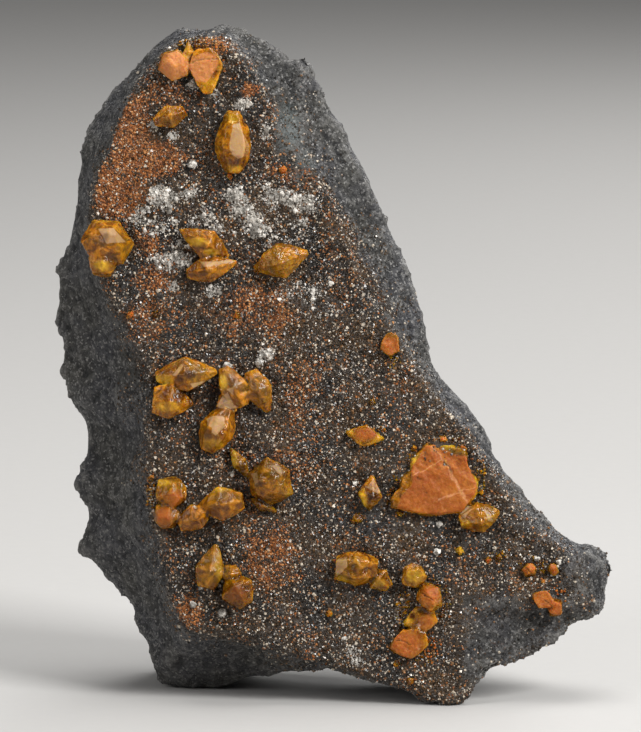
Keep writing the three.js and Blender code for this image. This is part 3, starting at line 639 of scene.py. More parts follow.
def patches(mesh, ovals):
    """The strength of a list of soft ovals at each of a mesh's points."""
    x, _, z = positions(mesh).T
    strength = np.zeros(len(x))
    for middle_x, middle_z, half_width, half_height, most in ovals:
        away = np.hypot((x - middle_x) / half_width, (z - middle_z) / half_height)
        strength = np.maximum(strength, most * (1 - smoothstep(*OVAL_ENDS, away)))
    return strength


def polygons_of(mesh):
    return [tuple(v.co) for v in mesh.vertices], [tuple(face.vertices) for face in mesh.polygons]


# %% What lies open, and what a crystal hides
COVER_START, COVER_REACH = -0.5, 12  # millimetres in front of the stone within which a crystal hides it
ON_FACE = 0.1  # less of the face than this isn't looked at


def behind_crystals(mesh, face):
    """1 where a crystal stands right in front of the stone, so that nothing there can be seen."""
    crystals = [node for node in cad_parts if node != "matrix"]
    covers = [BVHTree.FromPolygons(*polygons_of(solid_of(node))) for node in crystals]
    places = positions(mesh)
    hidden = np.zeros(len(places))
    forwards = Vector((0, -1, 0))
    for i in np.nonzero(face > ON_FACE)[0]:
        start = Vector(places[i]) + COVER_START * forwards
        hidden[i] = any(cover.ray_cast(start, forwards, COVER_REACH)[0] for cover in covers)
    return hidden


RIDGE_ROUNDS = 6  # rounds of smoothing that tell the finest ridges from the rest

face = on_face(stone.data)
bare = patches(stone.data, BARE)
hidden = behind_crystals(stone.data, face)
open_ground = face * (1 - hidden) * (1 - bare)
paint(stone.data, "face", face * (1 - 0.8 * bare))
paint(stone.data, "ridge", standing_out(stone.data, SKIN, RIDGE_ROUNDS))
paint(stone.data, "rust", patches(stone.data, RUST) * face)
paint(stone.data, "white", patches(stone.data, WHITE) * face)
paint(stone.data, "back", smoothstep(-0.1, 0.5, normals(stone.data)[:, 1]))
paint(stone.data, "ledge", patches(stone.data, LEDGE) * (normals(stone.data)[:, 1] < 0))
print("points on the crystal face:", int(face.sum()), "of which in the open:", int(open_ground.sum()))

# %% [markdown]
# ## The druse
#
# Druse is a crust of crystals each no bigger than a grain of salt. On the stone they are black octahedra with
# bright, mirror-like faces, rusty ones among them, and small white blades. A bump map can't give their
# glitter, so they are real: Geometry Nodes scatters points over the crystal face, sets a grain on each,
# turned at random and sunk half way, and makes them one plain mesh. An octahedron costs eight triangles.

# %% A tree that grows a crust of grains
SMALLEST, SPREAD, RARITY = 0.7, 1.2, 3.0  # grains are 0.7 to 1.9 times the size, and large ones are rare
SHADE_SEED = 77


def crust_tree(name, shape):
    """shape makes one grain, about a millimetre across, and hands over its geometry."""
    tree = bpy.data.node_groups.new(name, "GeometryNodeTree")
    given = grow(tree, {"Density": float, "Size": float, "Seed": int, "Material": bpy.types.Material})
    where = add_node(tree, "GeometryNodeInputNamedAttribute", {"Name": "crust"}, data_type="FLOAT")
    density = add_node(tree, MATH, {0: where, 1: given["Density"]}, operation="MULTIPLY")
    scattered = {"Mesh": given[0], "Density": density, "Seed": given["Seed"]}
    points = add_node(tree, "GeometryNodeDistributePointsOnFaces", scattered)

    any_way = {0: (0, 0, 0), 1: (math.tau, math.tau, math.tau), "Seed": given["Seed"]}
    turn = add_node(tree, "FunctionNodeRandomValue", any_way, data_type="FLOAT_VECTOR")
    turn = add_node(tree, "FunctionNodeEulerToRotation", {0: turn})
    any_size = {2: 0.0, 3: 1.0, "Seed": given["Seed"]}
    draw = add_node(tree, "FunctionNodeRandomValue", any_size, out=1, data_type="FLOAT")
    draw = add_node(tree, MATH, {0: draw, 1: RARITY}, operation="POWER")
    share = add_node(tree, MATH, {0: draw, 1: SPREAD, 2: SMALLEST}, operation="MULTIPLY_ADD")
    size = add_node(tree, MATH, {0: share, 1: given["Size"]}, operation="MULTIPLY")

    grains = {"Points": points, "Instance": shape(tree), "Rotation": turn, "Scale": size}
    grains = add_node(tree, "GeometryNodeInstanceOnPoints", grains)
    any_shade = {2: 0.0, 3: 1.0, "Seed": SHADE_SEED}
    shade = add_node(tree, "FunctionNodeRandomValue", any_shade, out=1, data_type="FLOAT")
    named = {"Geometry": grains, "Name": "shade", "Value": shade}
    named = add_node(tree, "GeometryNodeStoreNamedAttribute", named, data_type="FLOAT", domain="INSTANCE")
    end_tree(tree, named, given["Material"])
    return tree


def octahedron(tree):
    """The dual of a cube has a corner for each of its faces: that is an octahedron."""
    cube = add_node(tree, "GeometryNodeMeshCube", {"Size": (1.5, 1.5, 1.5)})
    return add_node(tree, "GeometryNodeDualMesh", {0: cube})


def blade(tree):
    """A tiny flat box, as a blade of barite is."""
    return add_node(tree, "GeometryNodeMeshCube", {"Size": (1.0, 0.35, 0.7)})


# %% Materials of the grains
def black_grain():
    """Hausmannite: brown-black, with the strong mirror-like lustre that a high index gives, dusty in part."""
    noises = {"dust": (5.0, 4.0, 0.55, 0.0), "polish": (3.0, 3.0, 0.55, 0.0)}
    material, tree, drivers = new_material("black manganese microcrystals", noises, ["shade"])
    shade = drivers["shade"]
    dusted = coated(tree, linear("2e2a26"), [(drivers["dust"], 0.38, 0.62, 0.0, 1.0, linear("56422b"))])
    colour = coated(tree, linear("150f08"), [
        (shade, 0.00, 0.80, 0.0, 1.0, dusted),
        (shade, 0.80, 0.82, 0.0, 1.0, linear("7c5a3a")),
        # the palest grains: partly clear crumbs, partly a painted glint
        (shade, 0.90, 0.92, 0.0, 1.0, linear("c2b5a2")),
    ])
    rough = add_node(tree, RANGE, {0: drivers["polish"], 1: 0.3, 2: 0.7, 3: 0.2, 4: 0.4})
    return shaded(material, {"Base Color": colour, "Roughness": rough, "IOR": 1.6})


def rusty_grain():
    """The same crystals under a matt skin of iron oxide, orange-brown with darker and paler crumbs."""
    noises = {"polish": (2.0, 3.0, 0.55, 0.0)}
    material, tree, drivers = new_material("iron-stained microcrystals", noises, ["shade"])
    shade = drivers["shade"]
    colour = coated(tree, linear("4a270d"), [
        (shade, 0.00, 0.50, 0.0, 1.0, linear("9a5a28")),
        (shade, 0.60, 0.90, 0.0, 1.0, linear("bc8450")),
        (shade, 0.95, 0.97, 0.0, 1.0, linear("c9b59a")),
    ])
    rough = add_node(tree, RANGE, {0: drivers["polish"], 1: 0.3, 2: 0.7, 3: 0.4, 4: 0.75})
    return shaded(material, {"Base Color": colour, "Roughness": rough, "IOR": 1.45})


def white_grain():
    """Barite: white where it is cloudy, bright on its cleavage faces."""
    noises = {"polish": (1.5, 3.0, 0.55, 0.0)}
    material, tree, drivers = new_material("white barite blades", noises, ["shade"])
    colour = coated(tree, linear("7a756d"), [(drivers["shade"], 0.0, 1.0, 0.0, 1.0, linear("ddd7cd"))])
    rough = add_node(tree, RANGE, {0: drivers["polish"], 1: 0.3, 2: 0.7, 3: 0.25, 4: 0.5})
    return shaded(material, {"Base Color": colour, "Roughness": rough, "IOR": 1.64})


# %% Where each kind of grain grows
RIM_SHARE = 0.22  # how thickly the broken rim of the face is set with black grains
RIM_BARE = 0.5  # the share of those that bare ground loses
RUST_HIDES, WHITE_HIDES = 0.75, 0.8  # the share of the black grains that is gone under rust and white druse
BANDS = {"upper": (54, 99), "middle": (27, 54), "lower": (-9, 27)}  # millimetres up the face


def ragged(name, strength, loss, depth, size, seed):
    """A painted patch made stronger, with clumps of a size eaten out of it to a depth."""
    eaten = (clumps(stone.data, size, seed) - loss) * depth
    return np.clip(painted_on(stone.data, name) * strength + eaten, 0, 1)


rusty = ragged("rust", strength=1.3, loss=0.7, depth=0.6, size=3.0, seed=5)
whitish = ragged("white", strength=1.8, loss=1.0, depth=0.9, size=1.6, seed=8)
black = (1 - RUST_HIDES * rusty) * (1 - WHITE_HIDES * whitish)
rim = RIM_SHARE * near_face(stone.data) * (1 - hidden) * (1 - RIM_BARE * bare)
black_ground = np.maximum(open_ground * black, rim)
heights = positions(stone.data)[:, 2]
bands = {
    "black_druse_" + band: black_ground * ((heights > bottom) & (heights <= top))
    for band, (bottom, top) in BANDS.items()
}
print("points with rust:", int(rusty.sum()), "and with white druse:", int(whitish.sum()))

# %% Grow each crust
FEWEST_RUSTY, FEWEST_WHITE = 0.04, 0.02  # a few rusty and white grains lie everywhere


def crust(name, where, tree, density, size, seed, material):
    """A crust on the stone as a piece of its own; density is in grains to a square millimetre."""
    grown = place_in_scene(name, stone.data.copy())
    paint(grown.data, "crust", where)
    grown.data = run_tree(grown, tree, Density=density, Size=size, Seed=seed, Material=material)
    grown.data.calc_loop_triangles()
    print(name, len(grown.data.loop_triangles), "triangles")
    return grown


octahedra = crust_tree("crust of octahedra", octahedron)
blades = crust_tree("crust of blades", blade)
black_material, rust_material, white_material = black_grain(), rusty_grain(), white_grain()
crusts = [
    crust(name, ground, octahedra, 27.0, 0.17, seed=seed, material=black_material)
    for seed, (name, ground) in enumerate(bands.items())
]
rusty_ground = open_ground * np.clip(rusty, FEWEST_RUSTY, 1)
white_ground = open_ground * np.clip(whitish, FEWEST_WHITE, 1)
crusts += [
    crust("coarse_black_druse", black_ground, octahedra, 2.6, 0.25, seed=4, material=black_material),
    crust("rusty_druse", rusty_ground, octahedra, 34.0, 0.17, seed=5, material=rust_material),
    crust("white_druse", white_ground, blades, 60.0, 0.19, seed=6, material=white_material),
]

# %% [markdown]
# ## The sturmanite crystals
#
# Each is a stubby six-sided double pyramid, clear to cloudy, and its colour is its depth: a thin edge is
# yellow-green, a thick middle deep amber. Where one has snapped off, the break is opaque and salmon orange.
# The solids have their facets. Here their skin is made fine and even, which rounds each edge a little as on a
# real crystal, their feet are pressed into the stone, and the facets get faint growth relief. How thick the
# crystal is behind each point is measured with a ray and painted on it, for the material to turn into colour.

# %% Marks on the crystals, by node, in face millimetres
BREAKS = {  # salmon orange: soft ovals as for the patches above
    "top_twin": [(-21.4, 84.6, 2.9, 2.8, 1.0)],
    "right_bead": [(7.7, 46.8, 1.6, 1.7, 1.0)],
    "orange_lens": [(4.4, 34.9, 1.9, 1.0, 1.0)],
    "chain": [(13.0, 13.2, 1.7, 1.9, 1.0), (12.6, 9.6, 1.2, 1.3, 0.8), (9.8, 6.6, 2.8, 2.2, 1.0)],
    "spur_bead": [(26.5, 16.5, 1.4, 1.4, 1.0)],
    "spur_bead_small": [(29.7, 16.6, 0.9, 0.9, 1.0)],
    "spur_pair": [(28.3, 12.6, 1.9, 1.5, 1.0), (29.9, 11.5, 1.4, 1.4, 1.0)],
    "left_row": [(-21.2, 26.2, 1.3, 1.4, 0.9), (-22.8, 23.8, 1.3, 1.5, 1.0)],
    "teardrop_pair": [(-13.0, 13.5, 1.6, 1.5, 0.5)],
}
BROKEN_FLAT = {  # the same, with a crisp outline
    "big_stump": [[
        (12.4, 33.3), (13.9, 33.6), (16.1, 32.3), (18.0, 32.0), (18.5, 30.4), (19.7, 27.4), (18.5, 26.1),
        (17.6, 24.6), (14.4, 23.9), (11.5, 24.3), (8.6, 24.8), (9.2, 26.5), (10.7, 28.2), (10.5, 30.4),
        (11.5, 31.7),
    ]],
    "top_twin": [[
        (-19.4, 84.9), (-18.5, 86.0), (-17.1, 86.5), (-15.8, 86.0), (-15.4, 85.0), (-16.4, 83.3),
        (-17.1, 82.4), (-18.4, 82.5), (-19.3, 83.6),
    ]],
}
SATIN_AND_SHEEN = {  # satin facets, their pale colour a painted reflection
    "left_edge": [[(-31.7, 62.6), (-29.6, 62.7), (-27.9, 60.8), (-30.5, 60.6)]],
    "tall_pale": [[
        (-13.4, 76.7), (-12.6, 76.8), (-12.2, 75.5), (-11.1, 73.7), (-11.6, 72.4), (-12.8, 72.0),
        (-13.6, 72.5), (-14.0, 73.8), (-13.8, 75.2),
    ]],
    "middle_cluster": [
        [(-14.2, 40.6), (-15.3, 39.7), (-16.1, 39.3), (-15.5, 38.5), (-13.9, 38.3), (-12.7, 38.5),
         (-13.4, 39.0)],
        [(-17.0, 37.0), (-16.2, 37.4), (-14.9, 37.4), (-14.6, 37.0), (-14.7, 35.8), (-15.8, 34.7),
         (-16.3, 35.2), (-16.3, 35.8), (-17.0, 36.2)],
        [(-14.4, 40.9), (-13.4, 41.3), (-13.4, 40.2)],
    ],
    "wedge_pair": [
        [(-20.5, 44.4), (-20.2, 44.1), (-21.1, 42.7), (-21.7, 42.8)],
        [(-19.3, 41.7), (-17.1, 42.1), (-17.0, 41.4), (-18.6, 40.9)],
    ],
    "round_and_sliver": [
        [(-8.4, 30.8), (-7.2, 30.6), (-6.8, 29.8), (-7.0, 29.2), (-7.8, 30.1)],
        [(-11.1, 29.6), (-10.3, 29.8), (-10.0, 28.5), (-10.5, 28.1)],
    ],
    "white_tipped": [[(4.5, 27.7), (5.5, 29.0), (6.5, 27.1), (6.1, 26.9)]],
    "big_stump": [
        [(17.1, 24.2), (18.2, 25.2), (19.2, 25.2), (18.2, 24.3), (17.7, 23.5)],
        [(20.4, 25.0), (21.2, 24.0), (21.6, 23.1), (20.9, 23.2)],
    ],
    "block": [[(0.3, 18.0), (1.8, 18.4), (1.9, 17.1), (1.1, 16.3), (0.4, 15.7), (0.1, 16.9)]],
    "arrow_pair": [[
        (-18.0, 58.2), (-15.5, 58.2), (-13.9, 58.5), (-13.1, 58.2), (-15.0, 57.9), (-17.4, 57.4),
    ]],
}
GLOWING = {  # yellow-green, where light gathers at a thin edge
    "wedge_pair": [(-22.9, 42.2, 1.5, 0.9, 0.9), (-22.2, 38.6, 2.0, 0.9, 0.6)],
    "middle_cluster": [(-14.8, 42.0, 0.7, 1.2, 1.0), (-16.0, 33.6, 1.6, 0.9, 0.5)],
    "round_and_sliver": [(-13.4, 31.6, 0.6, 1.5, 1.0), (-5.6, 27.0, 1.2, 0.8, 0.5)],
    "left_edge": [(-31.0, 57.6, 1.4, 0.9, 1.0), (-32.0, 64.0, 2.6, 0.7, 0.4)],
    "tall_pale": [(-13.6, 77.6, 1.2, 0.9, 0.7), (-13.4, 70.8, 1.2, 0.6, 0.6)],
    "arrow_pair": [(-18.6, 60.8, 2.0, 0.7, 0.9), (-16.4, 59.4, 1.2, 0.5, 0.8)],
    "teardrop_pair": [(-15.4, 17.2, 0.6, 2.2, 0.6)],
    "white_tipped": [(4.0, 25.8, 0.7, 1.8, 1.0)],
    "chain": [(11.0, 15.8, 1.6, 1.2, 0.7), (10.0, 10.0, 0.9, 1.4, 0.9)],
    "block": [(1.0, 15.2, 1.2, 0.8, 0.8), (6.2, 15.0, 1.0, 0.8, 0.7)],
    "left_row": [(-23.2, 28.4, 1.6, 0.6, 0.9), (-24.3, 26.4, 0.7, 1.4, 0.9), (-15.6, 27.6, 2.2, 0.6, 0.8)],
    "big_stump": [
        (10.6, 31.4, 1.0, 1.6, 1.0), (15.6, 33.6, 2.6, 0.8, 0.8), (19.6, 28.4, 0.8, 2.2, 0.8),
        (17.6, 23.0, 1.2, 0.6, 0.9),
    ],
    "top_twin": [(-19.8, 86.2, 0.5, 1.6, 0.8), (-16.4, 82.0, 1.6, 1.2, 0.45), (-15.1, 84.4, 0.7, 1.6, 0.4)],
    "lower_speck": [(17.2, 19.0, 1.0, 1.0, 0.8)],
    "orange_lens": [(6.2, 34.2, 1.0, 1.0, 0.8), (2.2, 35.0, 0.9, 0.7, 0.7)],
}
DUSKY = {  # darker brown patches
    "wedge_pair": [
        (-19.4, 43.0, 1.0, 0.7, 0.8), (-20.4, 42.2, 0.7, 0.5, 0.6), (-18.8, 38.8, 1.2, 1.4, 0.6),
        (-21.0, 40.4, 2.6, 0.9, 0.6),
    ],
    "white_tipped": [(5.4, 26.6, 1.0, 0.6, 0.9)],
    "left_edge": [(-30.6, 61.4, 0.5, 0.9, 0.6), (-29.6, 58.6, 1.4, 1.0, 0.4)],
    "tall_pale": [(-12.8, 71.4, 1.5, 0.6, 0.6)],
    "middle_cluster": [(-16.9, 34.9, 0.8, 1.0, 0.6), (-13.6, 41.6, 0.6, 0.9, 0.5)],
    "chain": [(10.6, 10.4, 0.5, 0.5, 1.0), (10.4, 6.0, 1.0, 0.7, 0.6)],
    "block": [(2.6, 16.8, 0.9, 0.9, 0.5)],
    "left_row": [(-20.2, 24.6, 0.8, 1.2, 0.6)],
    "arrow_pair": [(-18.4, 58.9, 1.4, 0.4, 0.6)],
    "teardrop_pair": [(-13.0, 13.2, 2.2, 2.6, 0.6)],
    "round_and_sliver": [(-12.2, 30.2, 0.5, 1.2, 0.6)],
}
STREAKS = {  # pale lines on a break: x and z of both ends
    "big_stump": [
        (13.4, 33.1, 15.0, 31.3), (15.0, 31.3, 16.6, 27.9), (16.6, 27.9, 18.5, 25.2),
        (10.8, 29.4, 11.9, 29.9), (11.9, 29.9, 14.7, 31.6), (14.2, 25.9, 16.9, 27.1),
        (16.9, 27.1, 18.9, 27.7), (15.3, 31.2, 16.1, 29.6), (16.1, 29.6, 16.9, 27.7),
        (16.9, 27.7, 17.7, 26.5),
    ],
}
CRACKS = {  # dark lines on a break
    "big_stump": [
        (15.1, 31.1, 15.8, 30.0), (11.3, 29.0, 12.2, 28.8), (17.6, 28.9, 17.7, 28.8),
        (12.6, 27.2, 12.7, 27.1),
    ],
    "top_twin": [(-19.4, 84.9, -17.5, 85.5), (-17.5, 85.5, -15.0, 85.6), (-16.6, 85.3, -16.5, 85.2)],
    "spur_bead": [(25.9, 16.9, 27.0, 15.9)],
    "spur_pair": [(28.4, 12.4, 29.6, 11.8)],
    "chain": [(8.6, 7.2, 10.6, 6.4), (11.8, 13.6, 13.6, 12.4)],
}
TONES = {  # how pale or dark a whole group is
    "top_twin": 1.17, "big_stump": 0.95, "round_and_sliver": 0.7, "teardrop_pair": 0.8, "wedge_pair": 1.05,
    "middle_cluster": 1.05, "block": 0.85, "left_row": 0.95, "tall_pale": 1.0,
}

# %% Paint the marks
WANDER, WANDER_SIZE = 0.25, 0.9  # millimetres between a line's two farthest bends, and along one bend
STREAK, CRACK = 0.09, 0.08  # half their widths in millimetres
BREAK_EDGE, FACET_EDGE = 0.12, 0.08  # millimetres over which an outline fades
FAR_AWAY = 99.0  # millimetres


def off_line(x, z, x1, z1, x2, z2):
    """The distance of points from a line between two ends."""
    length = math.hypot(x2 - x1, z2 - z1)
    along = np.clip(((x - x1) * (x2 - x1) + (z - z1) * (z2 - z1)) / length ** 2, 0, 1)
    return np.hypot(x - x1 - along * (x2 - x1), z - z1 - along * (z2 - z1))


def lines(mesh, ends, half_width):
    """The strength of lines between pairs of ends, which wander a little as cracks do."""
    x, _, z = positions(mesh).T
    x = x + WANDER * (clumps(mesh, WANDER_SIZE, seed=21) - 0.5)
    z = z + WANDER * (clumps(mesh, WANDER_SIZE, seed=22) - 0.5)
    strength = np.zeros(len(x))
    for line in ends:
        away = off_line(x, z, *line) / half_width
        strength = np.maximum(strength, 1 - smoothstep(0.5, 1.5, away))
    return strength


def outlined(mesh, corner_lists, soft):
    """1 inside outlines given by their corners, 0 outside, with an edge a little soft."""
    x, _, z = positions(mesh).T
    strength = np.zeros(len(x))
    for corners in corner_lists:
        inside = np.zeros(len(x), bool)
        nearest = np.full(len(x), FAR_AWAY)
        for (x1, z1), (x2, z2) in zip(corners, corners[1:] + corners[:1]):
            nearest = np.minimum(nearest, off_line(x, z, x1, z1, x2, z2))
            if z1 != z2:
                crossing = x1 + (z - z1) * (x2 - x1) / (z2 - z1)
                inside ^= ((z1 > z) != (z2 > z)) & (x < crossing)
        strength = np.maximum(strength, smoothstep(-soft, soft, np.where(inside, nearest, -nearest)))
    return strength


def paint_marks(skin, node):
    """Every mark of a group of crystals, painted on its skin; those on facets show on the near side only."""
    facing = smoothstep(0.2, 0.6, -normals(skin)[:, 1])
    flat = outlined(skin, BROKEN_FLAT.get(node, []), BREAK_EDGE)
    paint(skin, "broken", np.maximum(patches(skin, BREAKS.get(node, [])), flat) * facing)
    # satin facets, whose pale colour is a painted reflection
    paint(skin, "satin_and_sheen", outlined(skin, SATIN_AND_SHEEN.get(node, []), FACET_EDGE) * facing)
    paint(skin, "glowing", patches(skin, GLOWING.get(node, [])))
    paint(skin, "dusky", patches(skin, DUSKY.get(node, [])))
    paint(skin, "streaks", lines(skin, STREAKS.get(node, []), STREAK) * facing)
    paint(skin, "cracks", lines(skin, CRACKS.get(node, []), CRACK) * facing)


# %% Press the feet into the stone, and measure the crystal's thickness
ROOT = 1.3  # millimetres that a crystal's foot is pressed into the stone
ROOT_ENDS = (0.3, 1.3)  # millimetres from the stone over which the pressing fades
FOOT_REACH = 4  # millimetres in front of a point in which stone means that the point is inside it
THICKEST = 20  # millimetres
JUST_INSIDE = 0.02  # millimetres


def rooted(mesh, stone_tree):
    """Presses the points of a crystal that lie near the stone into it, and says how near each one was."""
    places = positions(mesh)
    forwards = Vector((0, -1, 0))
    away = np.array([stone_tree.find_nearest(Vector(place))[3] for place in places])
    over = [stone_tree.ray_cast(Vector(place), forwards, FOOT_REACH)[0] for place in places]
    inside = np.array([found is not None for found in over])
    push = ROOT * (1 - smoothstep(*ROOT_ENDS, away))
    places[:, 1] += np.where(inside, ROOT, push)
    move_points(mesh, places)
    return np.where(inside, 0, away)


def thickness(mesh):
    """How far it is through the crystal behind each of its points, in millimetres."""
    tree = BVHTree.FromPolygons(*polygons_of(mesh))
    depth = np.zeros(len(mesh.vertices))
    for i, (place, normal) in enumerate(zip(positions(mesh), normals(mesh))):
        inwards = Vector(-normal)
        distance = tree.ray_cast(Vector(place) + JUST_INSIDE * inwards, inwards, THICKEST)[3]
        depth[i] = distance or 0
    return depth


# %% The relief of grown facets and of breaks
CRYSTAL_RELIEF = {"Wave depth": 0.5, "Step depth": 0.35, "Chip depth": 0.5}  # millimetres
CRACK_DEPTH = 0.15  # millimetres
GROWTH_STEP = 0.12  # how much of the noise one step takes up
SATIN = 0.8  # the share of its growth relief that a satin facet has lost


def growth_tree():
    """Waves and low steps on grown facets, chips and cracks on broken ones."""
    tree = bpy.data.node_groups.new("crystal relief", "GeometryNodeTree")
    given = grow(tree, {**{name: float for name in CRYSTAL_RELIEF}, "Material": bpy.types.Material})
    place = add_node(tree, "GeometryNodeInputPosition")
    broken, satin_and_sheen, cracks = (
        add_node(tree, "GeometryNodeInputNamedAttribute", {"Name": name}, data_type="FLOAT")
        for name in ("broken", "satin_and_sheen", "cracks")
    )
    waves = {"Vector": place, "Scale": 0.5, "Detail": 3.0, "Roughness": 0.6, "Distortion": 0.4}
    waves = add_node(tree, NOISE, waves)
    waves = add_node(tree, MATH, {0: waves, 1: 0.5}, operation="SUBTRACT")
    waves = add_node(tree, MATH, {0: waves, 1: given["Wave depth"]}, operation="MULTIPLY")

    steps = {"Vector": place, "Scale": 0.9, "Detail": 1.0, "Distortion": 0.8}
    steps = add_node(tree, NOISE, steps)
    steps = add_node(tree, MATH, {0: steps, 1: GROWTH_STEP}, operation="SNAP")
    steps = add_node(tree, MATH, {0: steps, 1: 0.5}, operation="SUBTRACT")
    grown = {0: steps, 1: given["Step depth"], 2: waves}
    grown = add_node(tree, MATH, grown, operation="MULTIPLY_ADD")
    rough = add_node(tree, MATH, {0: satin_and_sheen, 1: -SATIN, 2: 1.0}, operation="MULTIPLY_ADD")
    grown = add_node(tree, MATH, {0: grown, 1: rough}, operation="MULTIPLY")

    chips = {"Vector": place, "Scale": 1.4, "Detail": 4.0, "Roughness": 0.6}
    chips = add_node(tree, NOISE, chips)
    chips = add_node(tree, MATH, {0: chips, 1: 0.5}, operation="SUBTRACT")
    chips = add_node(tree, MATH, {0: chips, 1: given["Chip depth"]}, operation="MULTIPLY")
    chips = add_node(tree, MATH, {0: cracks, 1: -CRACK_DEPTH, 2: chips}, operation="MULTIPLY_ADD")

    outwards = add_node(tree, MIX, {0: broken, 2: grown, 3: chips}, data_type="FLOAT")
    normal = add_node(tree, "GeometryNodeInputNormal")
    shift = add_node(tree, VECTORS, {0: normal, "Scale": outwards}, operation="SCALE")
    moved = add_node(tree, "GeometryNodeSetPosition", {"Geometry": given[0], "Offset": shift})
    end_tree(tree, moved, given["Material"])
    return tree


# %% [markdown]
# ## What sturmanite looks like
#
# Sturmanite is a glassy to waxy mineral of low index, cloudy inside, amber where thick and yellow where thin.
# Plain glass would let the dark stone show through and turn the crystals black, so only part of the light
# goes through, and the rest is scattered just under the surface, as the clouds in it do. The colours are laid
# over each other as coats, each driven by noise or by something painted on the mesh. Some coats are painted
# light and shade: a highlight on ridges, shade in creases and where a crystal meets the stone, and a
# reflection on satin facets. A break is matt and has layers.

# %% Material of the crystals
CRYSTAL_NOISES = {  # size in millimetres, detail, roughness and distortion
    "marble": (2.2, 6.0, 0.6, 1.4), "tint": (6.0, 2.0, 0.55, 0.0), "veins": (1.6, 3.0, 0.55, 1.6),
    "grain": (1.0, 6.0, 0.65, 0.0), "blush": (5.0, 2.0, 0.55, 0.0), "polish": (1.2, 4.0, 0.55, 0.0),
    "fine": (0.4, 4.0, 0.6, 0.0),
}
CRYSTAL_MARKS = (
    "depth", "ridge", "low", "glowing", "dusky", "satin_and_sheen", "broken", "streaks", "cracks", "tone",
)
LAYERS = ((300.0, 40.0, 160.0), (150.0, 40.0, -330.0))  # which way the two sets of layers follow each other
LAYER_BEND = 0.2  # how much the layers are bent by the grain
LAYER_FINENESS = 5.0  # how many times finer than their direction says they are
CLEAREST = 0.45  # the share of light that the clearest amber lets through
SATIN_ROUGH, BREAK_ROUGH = 0.4, 0.55  # the roughness of a satin facet and of a break


def amber_coats(tree, drivers, glow, satin_sheen):
    """Grown crystal: from dark amber up, with its own tones and with painted light and shade: a highlight on
    ridges, shade in creases and near the stone, light at thin edges and a reflection on satin facets.
    """
    marble, ridge = drivers["marble"], drivers["ridge"]
    vein = add_node(tree, MATH, {0: drivers["veins"], 1: 0.5}, operation="SUBTRACT")
    vein = add_node(tree, MATH, {0: vein}, operation="ABSOLUTE")
    return coated(tree, linear("7a4203"), [
        (marble, 0.34, 0.52, 0.0, 1.0, linear("a0620a")),
        (marble, 0.50, 0.70, 0.0, 1.0, linear("c28018")),
        (drivers["tint"], 0.45, 0.65, 0.0, 0.5, linear("9e7608")),
        (drivers["depth"], 0.6, 2.2, 0.75, 0.0, linear("b48e10")),
        (vein, 0.0, 0.02, 0.35, 0.0, linear("cf963a")),
        # painted highlight on ridges, painted shade in creases
        (ridge, 0.1, 0.6, 0.0, 0.5, linear("c68e2a")),
        (ridge, -0.1, -0.6, 0.0, 0.8, linear("3a1e02")),
        # painted shade where the crystal meets the stone
        (drivers["low"], 0.0, 1.0, 0.0, 0.85, linear("362402")),
        (glow, 0.0, 1.0, 0.0, 1.0, linear("cfa62a")),
        (drivers["dusky"], 0.0, 1.0, 0.0, 1.0, linear("4e2804")),
        # painted reflection: pale colour on satin facets
        (satin_sheen, 0.0, 1.0, 0.0, 0.8, linear("bc9e76")),
    ])


def salmon_coats(tree, drivers):
    """A break: grainy orange with clouds, layers, streaks and cracks, paler where the whole group is pale."""
    layers = []
    for across in LAYERS:
        band = {0: drivers["place"], 1: across}
        band = add_node(tree, VECTORS, band, out="Value", operation="DOT_PRODUCT")
        wavy = {0: drivers["grain"], 1: LAYER_BEND, 2: band}
        wavy = add_node(tree, MATH, wavy, operation="MULTIPLY_ADD")
        wavy = add_node(tree, MATH, {0: wavy, 1: LAYER_FINENESS}, operation="MULTIPLY")
        layers.append(add_node(tree, NOISE, {"W": wavy}, noise_dimensions="1D"))
    layered = add_node(tree, MATH, {0: layers[0], 1: layers[1]}, operation="MAXIMUM")
    return coated(tree, linear("984c0c"), [
        (drivers["grain"], 0.3, 0.7, 0.0, 1.0, linear("c07628")),
        (drivers["blush"], 0.42, 0.60, 0.5, 0.0, linear("8a3e08")),
        (layered, 0.58, 0.74, 0.0, 0.28, linear("cc9058")),
        (drivers["streaks"], 0.0, 1.0, 0.0, 0.5, linear("dca878")),
        (drivers["cracks"], 0.0, 1.0, 0.0, 0.6, linear("4a2006")),
        (drivers["tone"], 1.0, 1.15, 0.0, 0.5, linear("c08a58")),
    ])


